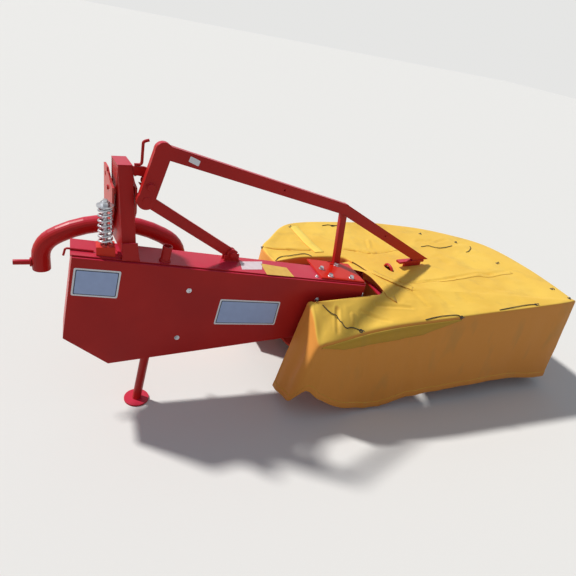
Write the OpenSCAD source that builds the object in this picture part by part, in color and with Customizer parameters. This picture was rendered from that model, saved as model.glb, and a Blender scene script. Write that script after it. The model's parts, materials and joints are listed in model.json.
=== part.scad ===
// Two-drum rotary mower for a tractor's three-point linkage, parked on its drums and stand.
// Origin on the floor, midway in length and in depth. X to the machine's right, Y forward, Z up.

/* [Overall] */
// Length across the machine, from the link pin's tip to the guard's outer edge
overall_l = 2760; // [2600:10:3000]
// Slope of the belt housing, which falls towards the drums (degrees)
beam_slope = 7.2; // [3:0.2:10]

/* [Cutting unit] */
// Distance from the middle of the machine to the middle of the cutting unit
unit_x = 470; // [450:1:500]
// Distance between the drums' centres
drum_pitch = 675; // [660:5:690]
// Radius of a drum's upper part
drum_r = 200; // [185:5:205]
// Radius of a rotor disc
disc_r = 258; // [245:1:262]
// Thickness of a rotor disc
disc_t = 10; // [8:1:14]
// Radius of the circle that the knife tips sweep
knife_tip_r = 350; // [340:2:354]
// Thickness of a knife
knife_t = 4; // [3:0.5:5]
// Width of a knife
knife_w = 48; // [40:2:55]
// Number of knives on a drum
knife_n = 3; // [2:1:4]
// Radius of a skid dish
skid_r = 215; // [190:5:230]
// Height of a skid dish
skid_h = 62; // [50:2:70]
// Height of the rotor disc's underside above the floor
disc_z = 84; // [78:2:95]

/* [Gear beam] */
// Outside width of the square gear beam
gear_w = 100; // [90:5:110]
// Radius of the round gearbox housings above the drums
gearbox_r = 105; // [95:5:115]

/* [Belt housing] */
// Distance of the housing's middle plane behind the drums' centres
belt_y = 250; // [240:5:270]
// Height of the input shaft
pto_z = 463; // [450:1:480]
// Depth of the belt housing, front to back
housing_d = 140; // [120:2:150]
// Plate thickness of the belt housing
housing_t = 5; // [3:0.5:6]
// Length of the housing to the left of the input shaft
housing_left = 200; // [190:5:215]
// Length of the housing to the right of the input shaft
housing_right = 1085; // [1060:5:1100]
// Height of the housing's top above the input shaft
housing_top = 265; // [255:1:275]
// Depth of the chamfered corner below the input shaft
housing_low = 216; // [205:1:225]
// Height of the left edge's lower end below the input shaft
housing_chamfer = 93; // [80:1:110]
// Height of the housing's right lower corner above the input shaft
housing_end = 14; // [0:1:30]

/* [Stand] */
// Outer radius of the stand tube
stand_r = 19; // [16:0.5:22]
// Wall of the stand tube
stand_t = 4; // [2:0.5:6]
// Length of stand tube that shows above the housing
stand_above = 70; // [60:5:140]
// Radius of the foot disc
foot_r = 54; // [45:1:65]
// Thickness of the foot disc
foot_t = 8; // [6:0.5:10]

/* [Hitch frame] */
// Distance of the arch's plane in front of the housing's middle plane
arch_y = 200; // [180:5:220]
// Outer radius of the arch tube
arch_r = 35; // [30:0.5:38]
// Half the distance between the arch's legs
arch_half = 272; // [262:2:282]
// Height of the arch's top centre line
arch_top = 767; // [760:1:780]
// Bend radius of the arch's crown
arch_crown_r = 415; // [400:5:430]
// Bend radius of the arch's shoulders
arch_shoulder_r = 105; // [90:5:115]
// Height of the lower link pins
link_z = 589; // [580:1:600]
// Radius of a lower link pin
link_r = 11; // [10:0.5:14]
// Length of a lower link pin outside the arch
pin_reach = 66; // [60:1:75]
// Height of the mast's top
mast_top = 1062; // [1050:2:1080]
// Width of the mast across the machine
mast_w = 50; // [45:1:60]

/* [Truss] */
// Width of a truss bar
bar_w = 50; // [40:2:55]
// Thickness of a truss bar, front to back
bar_t = 25; // [20:1:30]
// Angle by which the truss runs forward of the housing (degrees)
truss_yaw = 8; // [6:0.5:9]

/* [Guard] */
// Depth of the guard, front to back
guard_d = 1120; // [1060:10:1140]
// Height of the guard's highest edge, at its right end
guard_z = 575; // [565:5:590]
// Mean height of the canvas hem above the floor
hem_z = 70; // [60:5:110]
// Thickness of the canvas solid
canvas_t = 6; // [4:1:8]
// Radius of the guard's tube frame
hoop_r = 12; // [10:0.5:14]

/* [Hidden] */
$fn = 64;

paint = [0.72, 0.09, 0.07];
canvas_yellow = [0.93, 0.72, 0.13];
zinc = [0.72, 0.74, 0.76];
black = [0.08, 0.08, 0.09];
steel = [0.45, 0.45, 0.47];

// Clearances: between pieces that are bolted or welded together, and round what turns
seat_gap = 0.3;
run_gap = 0.05;

// Places along the machine, worked out from its length
left_drum_x = unit_x - drum_pitch / 2;
right_drum_x = unit_x + drum_pitch / 2;
arch_x = overall_l / 2 - pin_reach - arch_half - arch_r;
pto_x = arch_x - 12;
mast_x = 21 - arch_x;
mast_y = -305;
spring_x = -38 - arch_x;
spring_y = -270;
truss_x0 = 467 - arch_x;
truss_y0 = -215;

// A point of the sloping housing: along it, across it and up from the input shaft.
module on_beam(u = 0, v = 0, w = 0) {
    translate([-pto_x, -belt_y, pto_z])
        rotate([0, beam_slope, 0])
            translate([u, v, w])
                children();
}

// The same mapping as numbers, for pieces that stand plumb on the housing.
function beam_x(u, w) = -pto_x + u * cos(beam_slope) + w * sin(beam_slope);
function beam_z(u, w) = pto_z - u * sin(beam_slope) + w * cos(beam_slope);

// Plane geometry; a point may carry a height as its third number
function plan(p) = [p[0], p[1]];
function height(p) = len(p) > 2 ? p[2] : 0;
function unit(v) = v / norm(v);
function left_of(v) = [-v[1], v[0]];
function turned(v, a) = [v[0] * cos(a) - v[1] * sin(a), v[0] * sin(a) + v[1] * cos(a)];
function turn_at(a, b, c) = let (u = unit(b - a), w = unit(c - b)) atan2(u[0] * w[1] - u[1] * w[0], u * w);

// Path with its sharp corners rounded: a list of points, a bend radius, steps to a bend
sharp_turn = 12;
function bend_at(a, b, c, r, n) = let (u = unit(b - a), t = turn_at(a, b, c), s = sign(t),
    q = b - u * r * tan(abs(t) / 2), m = q + left_of(u) * s * r)
    [for (i = [0:n]) m + turned(q - m, t * i / n)];
function corner_at(a, b, c, r, n) = abs(turn_at(a, b, c)) < sharp_turn ? [b] : bend_at(a, b, c, r, n);
function rounded_path(p, r, n) = concat([p[0]],
    [for (i = [1:len(p) - 2], q = corner_at(plan(p[i - 1]), plan(p[i]), plan(p[i + 1]), r, n))
        concat(q, [height(p[i])])], [p[len(p) - 1]]);

// Solid through rings of points, each ring as long as the next
module loft(rings) {
    m = len(rings[0]);
    n = len(rings);
    walls = [for (i = [0:n - 2], k = [0:m - 1]) let (a = i * m, b = a + m, q = (k + 1) % m)
        each [[a + k, b + k, b + q], [a + k, b + q, a + q]]];
    ends = [[for (k = [0:m - 1]) k], [for (k = [m - 1:-1:0]) (n - 1) * m + k]];
    polyhedron([for (ring = rings) each ring], concat(walls, ends));
}

// Round tube along a path that is level or nearly so
module tube(path, r, sides = 16) {
    n = len(path);
    loft([for (i = [0:n - 1]) let (a = plan(path[max(i - 1, 0)]), b = plan(path[i]),
        c = plan(path[min(i + 1, n - 1)]), h = i == 0 || i == n - 1 ? 0 : turn_at(a, b, c) / 2,
        u = i == 0 ? unit(c - b) : turned(unit(b - a), h), side = left_of(u) / cos(h))
        [for (k = [0:sides - 1]) let (f = 360 * k / sides)
            [b[0] + side[0] * r * cos(f), b[1] + side[1] * r * cos(f), height(path[i]) + r * sin(f)]]]);
}

// Outline moved inwards by a distance; its points run clockwise
function shifted(a, b, d) = let (n = -left_of(unit(b - a))) [a + n * d, b + n * d];
function crossing(e, f) = let (u = e[1] - e[0], w = f[1] - f[0], g = f[0] - e[0])
    e[0] + u * (g[0] * w[1] - g[1] * w[0]) / (u[0] * w[1] - u[1] * w[0]);
function inset(p, d) = let (n = len(p)) [for (i = [0:n - 1])
    crossing(shifted(p[(i + n - 1) % n], p[i], d), shifted(p[i], p[(i + 1) % n], d))];

// Belt housing, an open pan closed at the back by its cover
tip_u = -19;
housing_outline = [[-housing_left, -housing_chamfer], [-housing_left, housing_top],
    [housing_right, housing_top], [housing_right, housing_end], [tip_u, -housing_low]];
cover_t = 2;
cover_rim = 16;
cover_drop = 1;
pan_d = housing_d - cover_rim - seat_gap;
lip = 6;
house_x1 = beam_x(housing_right + lip, housing_top + housing_t);
journal_r = 22;

stand_u = 135;
sleeve_r = stand_r + 3.5;
sleeve_wall = 1.5;
stand_v = cover_rim - housing_d / 2 + sleeve_r + sleeve_wall;
sleeve_lift = 20;
hole_gap = 0.5;

module belt_housing() {
    color(paint)
        on_beam()
            difference() {
                union() {
                    rotate([90, 0, 0])
                        translate([0, 0, -housing_d / 2])
                            linear_extrude(pan_d)
                                polygon(housing_outline);
                    translate([-housing_left - lip, housing_d / 2 - pan_d - lip, housing_top])
                        cube([housing_left + housing_right + 2 * lip, pan_d + 2 * lip, housing_t]);
                }
                rotate([90, 0, 0])
                    translate([0, 0, -housing_d / 2 + housing_t])
                        linear_extrude(housing_d)
                            polygon(inset(housing_outline, housing_t));
                translate([stand_u, stand_v, -housing_low])
                    cylinder(r = sleeve_r + seat_gap, h = 2 * housing_low + housing_top);
                rotate([-90, 0, 0])
                    cylinder(r = journal_r + run_gap, h = housing_d);
            }
}

module belt_cover() {
    color(paint)
        on_beam(0, cover_rim - housing_d / 2)
            rotate([90, 0, 0])
                difference() {
                    linear_extrude(cover_rim)
                        difference() {
                            polygon(housing_outline);
                            translate([-housing_left - 1, housing_top - cover_drop])
                                square([housing_left + housing_right + 2, 2 * cover_drop]);
                        }
                    translate([0, 0, -cover_t])
                        linear_extrude(cover_rim)
                            polygon(inset(housing_outline, cover_t));
                }
}

plate_len = 240;
plate_u = housing_right - plate_len - 1;
plate_front = 128;
plate_t = 8;

module joint_plate() {
    color(paint)
        on_beam(plate_u, housing_d / 2 - pan_d, housing_top + housing_t)
            difference() {
                cube([plate_len, pan_d - housing_d / 2 + plate_front, plate_t]);
                for (p = [[37, 88], [56, 23], [173, 24], [147, 144]])
                    translate([p[0], p[1], -1])
                        cylinder(r = 6.5, h = plate_t + 2, $fn = 24);
            }
}

module stand_sleeve() {
    color(paint)
        on_beam(stand_u, stand_v, -housing_low + sleeve_lift)
            difference() {
                cylinder(r = sleeve_r, h = housing_low + housing_top + 12 - sleeve_lift);
                translate([0, 0, -1])
                    cylinder(r = stand_r + hole_gap, h = 2 * housing_low + housing_top);
            }
}

module stand_tube() {
    base = beam_z(stand_u, 0) / cos(beam_slope);
    color(paint)
        difference() {
            on_beam(stand_u, stand_v, -base)
                difference() {
                    cylinder(r = stand_r, h = base + housing_top + stand_above);
                    translate([0, 0, -1])
                        cylinder(r = stand_r - stand_t, h = base + housing_top + stand_above + 2);
                }
            translate([beam_x(stand_u, -base), -belt_y + stand_v, foot_t - 2 * foot_r])
                cube(4 * foot_r, center = true);
        }
}

module stand_foot() {
    base = beam_z(stand_u, 0) / cos(beam_slope);
    color(paint)
        translate([beam_x(stand_u, -base), -belt_y + stand_v, 0])
            cylinder(r = foot_r, h = foot_t - seat_gap);
}

// Belt tensioning spring on its rod, left of the mast
spring_z0 = beam_z(-50, housing_top + housing_t) + 42;
spring_z1 = spring_z0 + 150;
spring_r = 27;
wire_r = 4.5;
spring_turns = 7;
seat_w = 66;
seat_d = 56;
seat_t = 6;
seat_h = 80;
rod_d = 16;
washer_t = 5;
nut_h = 13;

module spring_seat() {
    color(paint) {
        difference() {
            translate([spring_x - seat_w / 2, spring_y - seat_d / 2, spring_z0 - seat_t])
                cube([seat_w, seat_d, seat_t]);
            translate([spring_x, spring_y, spring_z0 - seat_t - 1])
                cylinder(d = rod_d + 2, h = seat_t + 2, $fn = 32);
        }
        difference() {
            translate([spring_x - seat_w / 2, spring_y - seat_d / 2, spring_z0 - seat_h])
                cube([seat_w, seat_t, seat_h - seat_t]);
            on_beam(-housing_left, -housing_d, -housing_top)
                cube([housing_left, 2 * housing_d, 2 * housing_top + housing_t + seat_gap]);
        }
    }
}

module spring_rod() {
    color(zinc)
        translate([spring_x, spring_y, 0]) {
            translate([0, 0, spring_z0 - 20])
                cylinder(d = rod_d, h = spring_z1 - spring_z0 + 20 + washer_t + nut_h + 8, $fn = 32);
            translate([0, 0, spring_z1 + seat_gap])
                cylinder(r = spring_r + 3, h = washer_t, $fn = 48);
            translate([0, 0, spring_z1 + seat_gap + washer_t])
                cylinder(r = rod_d, h = nut_h, $fn = 6);
        }
}

// Closed wire along a helix
module coil(turns, r, wire, h, per_turn = 18, sides = 8) {
    n = turns * per_turn;
    loft([for (i = [0:n]) let (a = 360 * i / per_turn, z = wire + (h - 2 * wire) * i / n)
        [for (k = [0:sides - 1]) let (f = -360 * k / sides)
            [(r + wire * cos(f)) * cos(a), (r + wire * cos(f)) * sin(a), z + wire * sin(f)]]]);
}

module tension_spring() {
    color(zinc)
        translate([spring_x, spring_y, spring_z0 + seat_gap])
            coil(spring_turns, spring_r - wire_r, wire_r, spring_z1 - spring_z0 - seat_gap);
}

// Truss over the housing, in a vertical plane that runs forward to the right
module on_truss() {
    translate([truss_x0, truss_y0, 0])
        rotate([0, 0, truss_yaw])
            rotate([90, 0, 0])
                translate([0, 0, -bar_t / 2])
                    children();
}

// Truss joints: along the truss and up from the floor
arm_top = [-315, mast_top + 78];
arm_low = [-370, mast_top - 104];
arm_pin = [-357, mast_top - 52];
node_top = [545, 905];
end_low = [1200, guard_z];
truss_end_z = guard_z + 16;
house_p1 = (house_x1 - truss_x0) / cos(truss_yaw);
strut_low = [house_p1 - 88, 612];
strut_w = 34;
brace_low = [3, 708];
brace_w = 44;
brace_t = 12;
clevis_t = 8;
clevis_w = 68;
clevis_h = 60;
clevis_r = 24;
arm_w = 62;
arm_end_r = arm_w / 2 + 4;
knee_lip = 1;
pin_r = 10;
// Small holes in the upper and the falling bar, by their share of the bar's length
bar_holes = [[arm_top, node_top, 0.6], [node_top, end_low, 0.46]];
bar_hole_r = 5;

module bar2d(a, b, w) {
    d = b - a;
    translate(a)
        rotate(atan2(d[1], d[0]))
            translate([0, -w / 2])
                square([norm(d), w]);
}

module bar_chain(gap = 0) {
    bar2d(arm_low, arm_top, arm_w + 2 * gap);
    bar2d(arm_top, node_top, bar_w + 2 * gap);
    bar2d(node_top, end_low + 2 * bar_w * unit(end_low - node_top), bar_w + 2 * gap);
    translate(arm_top)
        circle(r = arm_w / 2 + knee_lip + gap);
    translate(arm_low)
        circle(r = arm_end_r + gap);
    translate(node_top)
        circle(r = bar_w / 2 + knee_lip + gap);
}

// What stands on the housing is cut off at this height above its top plate.
module above_housing(rise = 0) {
    difference() {
        children();
        on_beam(-2 * housing_left, -housing_d, -housing_top)
            cube([2 * housing_right, 3 * housing_d, 2 * housing_top + rise]);
    }
}

module truss_bar() {
    color(paint)
        on_truss()
            linear_extrude(bar_t)
                difference() {
                    bar_chain();
                    translate(arm_pin)
                        circle(r = pin_r + run_gap);
                    for (h = bar_holes)
                        translate(h[0] + (h[1] - h[0]) * h[2])
                            circle(r = bar_hole_r, $fn = 24);
                    translate([node_top[0], 0])
                        square([2 * end_low[0], truss_end_z]);
                }
}

module truss_strut() {
    color(paint)
        above_housing(housing_t + plate_t + seat_gap)
            on_truss()
                translate([0, 0, 2])
                    linear_extrude(bar_t - 4)
                        difference() {
                            bar2d(node_top, strut_low, strut_w);
                            bar_chain(seat_gap);
                        }
}

module truss_brace() {
    color(paint)
        on_truss()
            linear_extrude(brace_t)
                difference() {
                    bar2d(arm_low, brace_low + brace_w / 2 * unit(brace_low - arm_low), brace_w);
                    translate(arm_low)
                        circle(r = arm_end_r + seat_gap);
                    translate(brace_low)
                        circle(r = pin_r + run_gap);
                }
}

module brace_clevis() {
    color(paint)
        above_housing(housing_t + seat_gap)
            on_truss()
                for (z = [-clevis_t - seat_gap, brace_t + seat_gap])
                    translate([0, 0, z])
                        linear_extrude(clevis_t)
                            difference() {
                                union() {
                                    translate(brace_low)
                                        circle(r = clevis_r);
                                    translate(brace_low - [clevis_w / 2, clevis_h])
                                        square([clevis_w, clevis_h]);
                                }
                                translate(brace_low)
                                    circle(r = pin_r + run_gap);
                            }
}

module truss_pins() {
    color(zinc)
        on_truss() {
            translate([arm_pin[0], arm_pin[1], -28])
                cylinder(r = pin_r, h = bar_t + 36);
            translate([brace_low[0], brace_low[1], -clevis_t - 6])
                cylinder(r = pin_r, h = brace_t + 2 * clevis_t + 12);
        }
}

// Lug on the gear beam that carries the truss's end, up through a slit in the canvas
lug_head = [1010, 1190];
lug_stem = [1060, 1180];
lug_t = 14;
lug_head_w = 32;
lug_head_t = 12;
lug_foot_t = 8;
module truss_lug() {
    color(paint) {
        on_truss() {
            translate([lug_head[0], truss_end_z - seat_gap - lug_head_t, (bar_t - lug_head_w) / 2])
                cube([lug_head[1] - lug_head[0], lug_head_t, lug_head_w]);
            translate([lug_stem[0], gear_top + seat_gap, (bar_t - lug_t) / 2])
                cube([lug_stem[1] - lug_stem[0], truss_end_z - gear_top - lug_head_t, lug_t]);
        }
        translate([truss_x0 + lug_stem[0] * cos(truss_yaw) - lug_t, -gear_w / 2 - 2 * lug_t,
            gear_top + seat_gap])
            cube([lug_stem[1] - lug_stem[0] + 2 * lug_t, gear_w, lug_foot_t]);
    }
}

// Cutting unit
gear_drop = 89;
gear_top = guard_z - gear_drop;
gear_z = gear_top - gear_w / 2;
gearbox_cap = 6;
drum_gap = 8;
drum_top_z = gear_z - gear_w / 2 - 2 * drum_gap;
input_reach = 75;
input_x = left_drum_x - gearbox_r - input_reach;
input_flange = 80;
input_flange_t = 14;
input_pipe_r = 48;

module gear_beam() {
    color(paint)
        difference() {
            translate([input_x - input_flange, -gear_w / 2, gear_z - gear_w / 2])
                cube([right_drum_x - input_x + input_flange, gear_w, gear_w]);
            for (x = [left_drum_x, right_drum_x])
                translate([x, 0, gear_z - gear_w])
                    cylinder(r = gearbox_r + seat_gap, h = 2 * gear_w);
        }
}

module gearbox(x) {
    color(paint)
        translate([x, 0, 0])
            rotate_extrude()
                polygon([[0, drum_top_z + drum_gap], [60, drum_top_z + drum_gap],
                    [gearbox_r, drum_top_z + 2 * drum_gap], [gearbox_r, gear_top - 4],
                    [gearbox_r - 20, gear_top + gearbox_cap], [0, gear_top + gearbox_cap]]);
}
module gearbox_left() gearbox(left_drum_x);
module gearbox_right() gearbox(right_drum_x);

module input_housing() {
    color(paint)
        translate([input_x, -belt_y + housing_d / 2 + seat_gap, gear_z])
            rotate([-90, 0, 0]) {
                cylinder(r = input_flange - 10, h = input_flange_t);
                cylinder(r = input_pipe_r, h = belt_y - housing_d / 2 - gear_w / 2 - 2 * seat_gap);
            }
}

drum_taper = 32;
module drum(x) {
    color(paint)
        translate([x, 0, 0])
            rotate_extrude()
                polygon([[0, disc_z], [disc_r, disc_z], [disc_r, disc_z + disc_t],
                    [drum_r + 14, disc_z + disc_t + 12], [drum_r, disc_z + disc_t + 40],
                    [drum_r - drum_taper, drum_top_z - 14], [drum_r - drum_taper - 14, drum_top_z],
                    [45, drum_top_z], [45, drum_top_z + drum_gap - seat_gap],
                    [0, drum_top_z + drum_gap - seat_gap]]);
}
module drum_left() drum(left_drum_x);
module drum_right() drum(right_drum_x);

knife_pin_r = disc_r - 24;
module knives(x, phase) {
    color(steel)
        translate([x, 0, disc_z - seat_gap - knife_t])
            for (i = [0:knife_n - 1])
                rotate(phase + 360 * i / knife_n)
                    difference() {
                        translate([knife_pin_r - 22, -knife_w / 2, 0])
                            cube([knife_tip_r - knife_pin_r + 22, knife_w, knife_t]);
                        translate([knife_pin_r, 0, -1])
                            cylinder(r = 9, h = knife_t + 2, $fn = 32);
                    }
}
module knives_left() knives(left_drum_x, 20);
module knives_right() knives(right_drum_x, 100);

module skid(x) {
    color(steel)
        translate([x, 0, 0])
            rotate_extrude()
                polygon([[0, 0], [90, 0], [160, 8], [skid_r, 34], [skid_r, 42], [150, skid_h - 6],
                    [60, skid_h], [0, skid_h]]);
}
module skid_left() skid(left_drum_x);
module skid_right() skid(right_drum_x);

module skid_pin(x) {
    color(zinc)
        translate([x, 0, skid_h + seat_gap])
            cylinder(r = 30, h = disc_z - skid_h - 2 * seat_gap);
}
module skid_pin_left() skid_pin(left_drum_x);
module skid_pin_right() skid_pin(right_drum_x);

// Canvas guard: one sheet that starts round the housing, bends over a tube frame and hangs as a skirt.
// Each station gives, in hundredths, how far along the opening's edge the sheet starts, then where its
// top edge lies along the guard and across it, with the drop in mm below the guard's highest edge, then
// where its hem lies along and across, with the height in mm above or below the hem's mean height.
guard_left = 755;
guard_x0 = unit_x - guard_left;
guard_x1 = overall_l / 2;
opening_drop = 29;
stations = [
    [0, 5.5, -63, 37, 0.5, -62.5, -25], [3, 5.5, -78, 75, 1, -76, -10], [6.5, 5.5, -94, 145, 1.5, -90, 15],
    [9, 8, -95, 142, 5, -95, 95], [12, 11.5, -94.5, 130, 9, -100, 55], [15.5, 15.5, -94, 115, 15, -100, 0],
    [19.5, 20.5, -94, 95, 22.5, -100, -35], [23, 25, -94, 83, 29.5, -100, -48],
    [26, 30, -94, 73, 35, -100, -26], [29.5, 35, -94, 67, 41.5, -100, -6], [32.5, 42.5, -94, 60, 49, -100, 3],
    [34.5, 53, -94, 50, 59, -100, 12], [36, 66, -94, 37, 70, -100, 22], [37.5, 82.5, -94, 21, 83, -100, 16],
    [39, 97.5, -93, 4, 98.5, -100, -4], [41, 99, -86.5, 4, 100, -92, -6], [44, 99.5, -53.5, 0, 100, -55.5, 0],
    [46.5, 99.5, -21.5, 1, 100, -21.5, 5], [49, 98, 14, 4, 99, 16, 10], [51.5, 94.5, 38.5, 8, 95, 42, 10],
    [54, 87, 59, 12, 87.5, 63.5, 10], [56, 76.5, 78.5, 17, 77, 84, 10], [58.5, 65, 89.5, 21, 65.5, 95, 10],
    [62, 55.5, 95.5, 24, 55.5, 100, 10], [65.5, 40, 96.5, 26, 40, 100, 10], [71, 25.5, 94.5, 29, 25.5, 99, 10],
    [79, 16.5, 85, 33, 15.5, 89.5, 10], [87, 8, 55.5, 35, 6, 59, 15], [94.5, 3, 34, 35, 0.5, 35.5, 15],
    [100, 3.5, 3.5, 34, 0, 3.5, 20]];
last_station = len(stations) - 1;

// Edge of the opening round the housing, from its rear left to its front left
house_y0 = -belt_y - housing_d / 2;
house_y1 = -belt_y + housing_d / 2;
opening = [[house_x1 - 281, house_y0 - 52], [house_x1 + 87, house_y0 - 13], [house_x1 + 141, house_y0 + 45],
    [house_x1 + 147, house_y1 + 30], [house_x1 + 119, house_y1 + 140], [house_x1 + 83, house_y1 + 220],
    [house_x1 + 19, house_y1 + 240], [house_x1 - 181, house_y1 + 236], [house_x1 - 336, house_y1 + 195]];

function path_length(p, i = 0) = i == len(p) - 1 ? 0 : norm(p[i + 1] - p[i]) + path_length(p, i + 1);
function along(p, d, i = 0) = let (step = norm(p[i + 1] - p[i]))
    d <= step || i == len(p) - 2 ? p[i] + (p[i + 1] - p[i]) * d / step : along(p, d - step, i + 1);
function guard_at(along_share, across_share) =
    [guard_x0 + (guard_x1 - guard_x0) * along_share / 100, guard_d / 2 * across_share / 100];

opening_row = [for (s = stations)
    concat(along(opening, s[0] / 100 * path_length(opening)), [guard_z - opening_drop])];
top_row = [for (s = stations) concat(guard_at(s[1], s[2]), [guard_z - s[3]])];
hem_row = [for (s = stations) concat(guard_at(s[4], s[5]), [hem_z + s[6]])];
inward = [for (i = [0:last_station])
    left_of(unit(plan(top_row[min(i + 1, last_station)]) - plan(top_row[max(i - 1, 0)])))];

// Point of the sheet's top at a station, on the line to the opening, a distance in from the top edge
function on_sheet(i, d) = let (run = opening_row[i] - top_row[i])
    top_row[i] + run * d / (plan(run) * inward[i]);
edge_gap = canvas_t + seat_gap;
edge_row = [for (i = [0:last_station])
    concat(plan(top_row[i]) + edge_gap * inward[i], [height(on_sheet(i, edge_gap))])];

slit_gap = 2;
module canvas_top() {
    color(canvas_yellow)
        difference() {
            loft([for (i = [0:last_station]) let (a = opening_row[i], b = edge_row[i], down = [0, 0, -canvas_t])
                [a, b, b + down, a + down]]);
            on_truss()
                translate([lug_stem[0] - slit_gap, gear_top, (bar_t - lug_t) / 2 - slit_gap])
                    cube([lug_stem[1] - lug_stem[0] + 2 * slit_gap, gear_drop, lug_t + 2 * slit_gap]);
        }
}

module canvas_skirt() {
    color(canvas_yellow)
        loft([for (i = [0:last_station]) let (a = top_row[i], b = hem_row[i],
            step = concat(inward[i] * canvas_t, [0])) [a, b, b + step, a + step]]);
}

// Tube frame under the sheet's top edge, on two bars across the gear beam
hoop_inset = 30;
hoop_bend = 60;
hoop_gap = 1.8;
hoop_stations = [for (i = [4:13]) i, for (i = [15:27]) i];
function hoop_at(i) = let (run = opening_row[i] - top_row[i], level = norm(plan(run)) / norm(run))
    on_sheet(i, hoop_inset) - [0, 0, canvas_t + (hoop_r + hoop_gap) / level];

module guard_hoop() {
    color(paint)
        tube(rounded_path([for (i = hoop_stations) hoop_at(i)], hoop_bend, 3), hoop_r);
}

guard_arm_w = 40;
guard_arm_t = 8;
arm_drop = hoop_r + 2;
arm_side = 45;
guard_arms_at = [[left_drum_x + gearbox_r + arm_side, gear_top], [right_drum_x, gear_top + gearbox_cap]];
rear_stations = [for (i = [5:13]) i];
front_stations = [for (i = [21:26]) i];
function hoop_height(x, list) = lookup(x, [for (i = list) let (p = hoop_at(i)) [p[0], p[2]]]);
function hoop_depth(x, list) = lookup(x, [for (i = list) let (p = hoop_at(i)) [p[0], p[1]]]);

module guard_arms() {
    color(paint)
        for (spot = guard_arms_at) {
            x = spot[0];
            y0 = hoop_depth(x, rear_stations);
            y1 = hoop_depth(x, front_stations);
            z0 = hoop_height(x, rear_stations) - arm_drop;
            z1 = hoop_height(x, front_stations) - arm_drop;
            middle = z0 - (z1 - z0) * y0 / (y1 - y0);
            translate([x - guard_arm_w / 2, y0, z0])
                rotate([atan2(z1 - z0, y1 - y0), 0, 0])
                    translate([0, 0, -guard_arm_t])
                        cube([guard_arm_w, norm([y1 - y0, z1 - z0]), guard_arm_t]);
            translate([x - guard_arm_w / 2, -gear_w / 2, spot[1] + seat_gap])
                cube([guard_arm_w, gear_w, middle - guard_arm_t / 2 - spot[1] - seat_gap]);
        }
}

// Hood round the input shaft, cut open below
hood_r = 130;
hood_l = 110;
hood_t = 4;
hood_open = 20;
module shaft_guard() {
    color(black)
        on_beam(0, housing_d / 2 + seat_gap, 0)
            rotate([-90, 0, 0])
                difference() {
                    cylinder(r = hood_r, h = hood_l);
                    translate([0, 0, hood_t])
                        cylinder(r = hood_r - hood_t, h = hood_l);
                    translate([0, 0, -1])
                        cylinder(r = journal_r + 2, h = 2 * hood_t);
                    translate([-hood_r - 1, hood_open, hood_t])
                        cube([2 * hood_r + 2, hood_r, hood_l]);
                }
}

// Input shaft: a journal in the housing's wall, a neck and the splined end
shaft_r = 17.5;
shaft_l = 73;
journal_l = 35;
journal_out = 5;
neck_r = 15;
neck_l = 2;
module input_shaft() {
    color(zinc)
        on_beam(0, housing_d / 2 + journal_out - journal_l, 0)
            rotate([-90, 0, 0]) {
                cylinder(r = journal_r, h = journal_l);
                cylinder(r = neck_r, h = journal_l + neck_l + 1);
                translate([0, 0, journal_l + neck_l])
                    cylinder(r = shaft_r, h = shaft_l);
            }
}

// Rod that ends in a hook over the housing's left edge
hook_r = 4;
hook_path = [[80, 0], [-16, 0], [-20, -30]];
module rod_hook() {
    color(paint)
        on_beam(-housing_left - lip, -20, housing_top + housing_t + seat_gap + hook_r)
            rotate([90, 0, 0])
                tube(rounded_path(hook_path, 2 * hook_r, 4), hook_r, 10);
}

// Hitch frame: the arch, the mast and what they carry
arch_plane = arch_y - belt_y;
crown_z = arch_top - arch_crown_r;
shoulder_x = arch_half - arch_shoulder_r;
shoulder_z = crown_z + sqrt(pow(arch_crown_r - arch_shoulder_r, 2) - pow(shoulder_x, 2));
crown_a = atan2(shoulder_x, shoulder_z - crown_z);
leg_below_pin = 30;

function arc(c, r, from, to, n) = [for (i = [0:n]) let (a = from + (to - from) * i / n)
    c + r * [cos(a), sin(a)]];
arch_path = concat([[-arch_half, link_z - leg_below_pin]],
    arc([-shoulder_x, shoulder_z], arch_shoulder_r, 180, 90 + crown_a, 5),
    arc([0, crown_z], arch_crown_r, 90 + crown_a - 4, 90 - crown_a + 4, 8),
    arc([shoulder_x, shoulder_z], arch_shoulder_r, 90 - crown_a, 0, 5),
    [[arch_half, link_z - leg_below_pin]]);

module arch_tube() {
    color(paint)
        translate([-arch_x, arch_plane, 0])
            rotate([90, 0, 0])
                tube(arch_path, arch_r, 24);
}

module link_pins() {
    color(paint)
        for (s = [-1, 1])
            translate([-arch_x + s * (arch_half + arch_r), arch_plane, link_z])
                rotate([0, s * 90, 0])
                    cylinder(r = link_r, h = pin_reach);
}

// Mast, turned to the truss's direction, raked at the back, which pivots on a lug on the housing
mast_rake = 90;
mast_depth = 190;
mast_wall = 5;
mast_low = 750;
pivot_z = 766;
pivot_r = 12;
pivot_p = mast_w / 2;
tilt_lo = -4;
tilt_hi = 6;
lug_d = 40;
lug_w = 24;
lug_near = 20;
base_t = 8;
cheek_d = 66;
cap_t = 4;
cap_lip = 3;

module on_mast() {
    translate([mast_x, mast_y, 0])
        rotate([0, 0, truss_yaw])
            children();
}

// Side view of the mast: depth and height
module mast_side(inset = 0) {
    polygon([[inset, mast_low - inset], [mast_rake + inset, mast_top + inset],
        [mast_depth - inset, mast_top + inset], [mast_depth - inset, mast_low - inset]]);
}

module pivot_bore(r) {
    translate([pivot_p, -20, pivot_z])
        rotate([-90, 0, 0])
            cylinder(r = r, h = cheek_d + 60);
}

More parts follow.
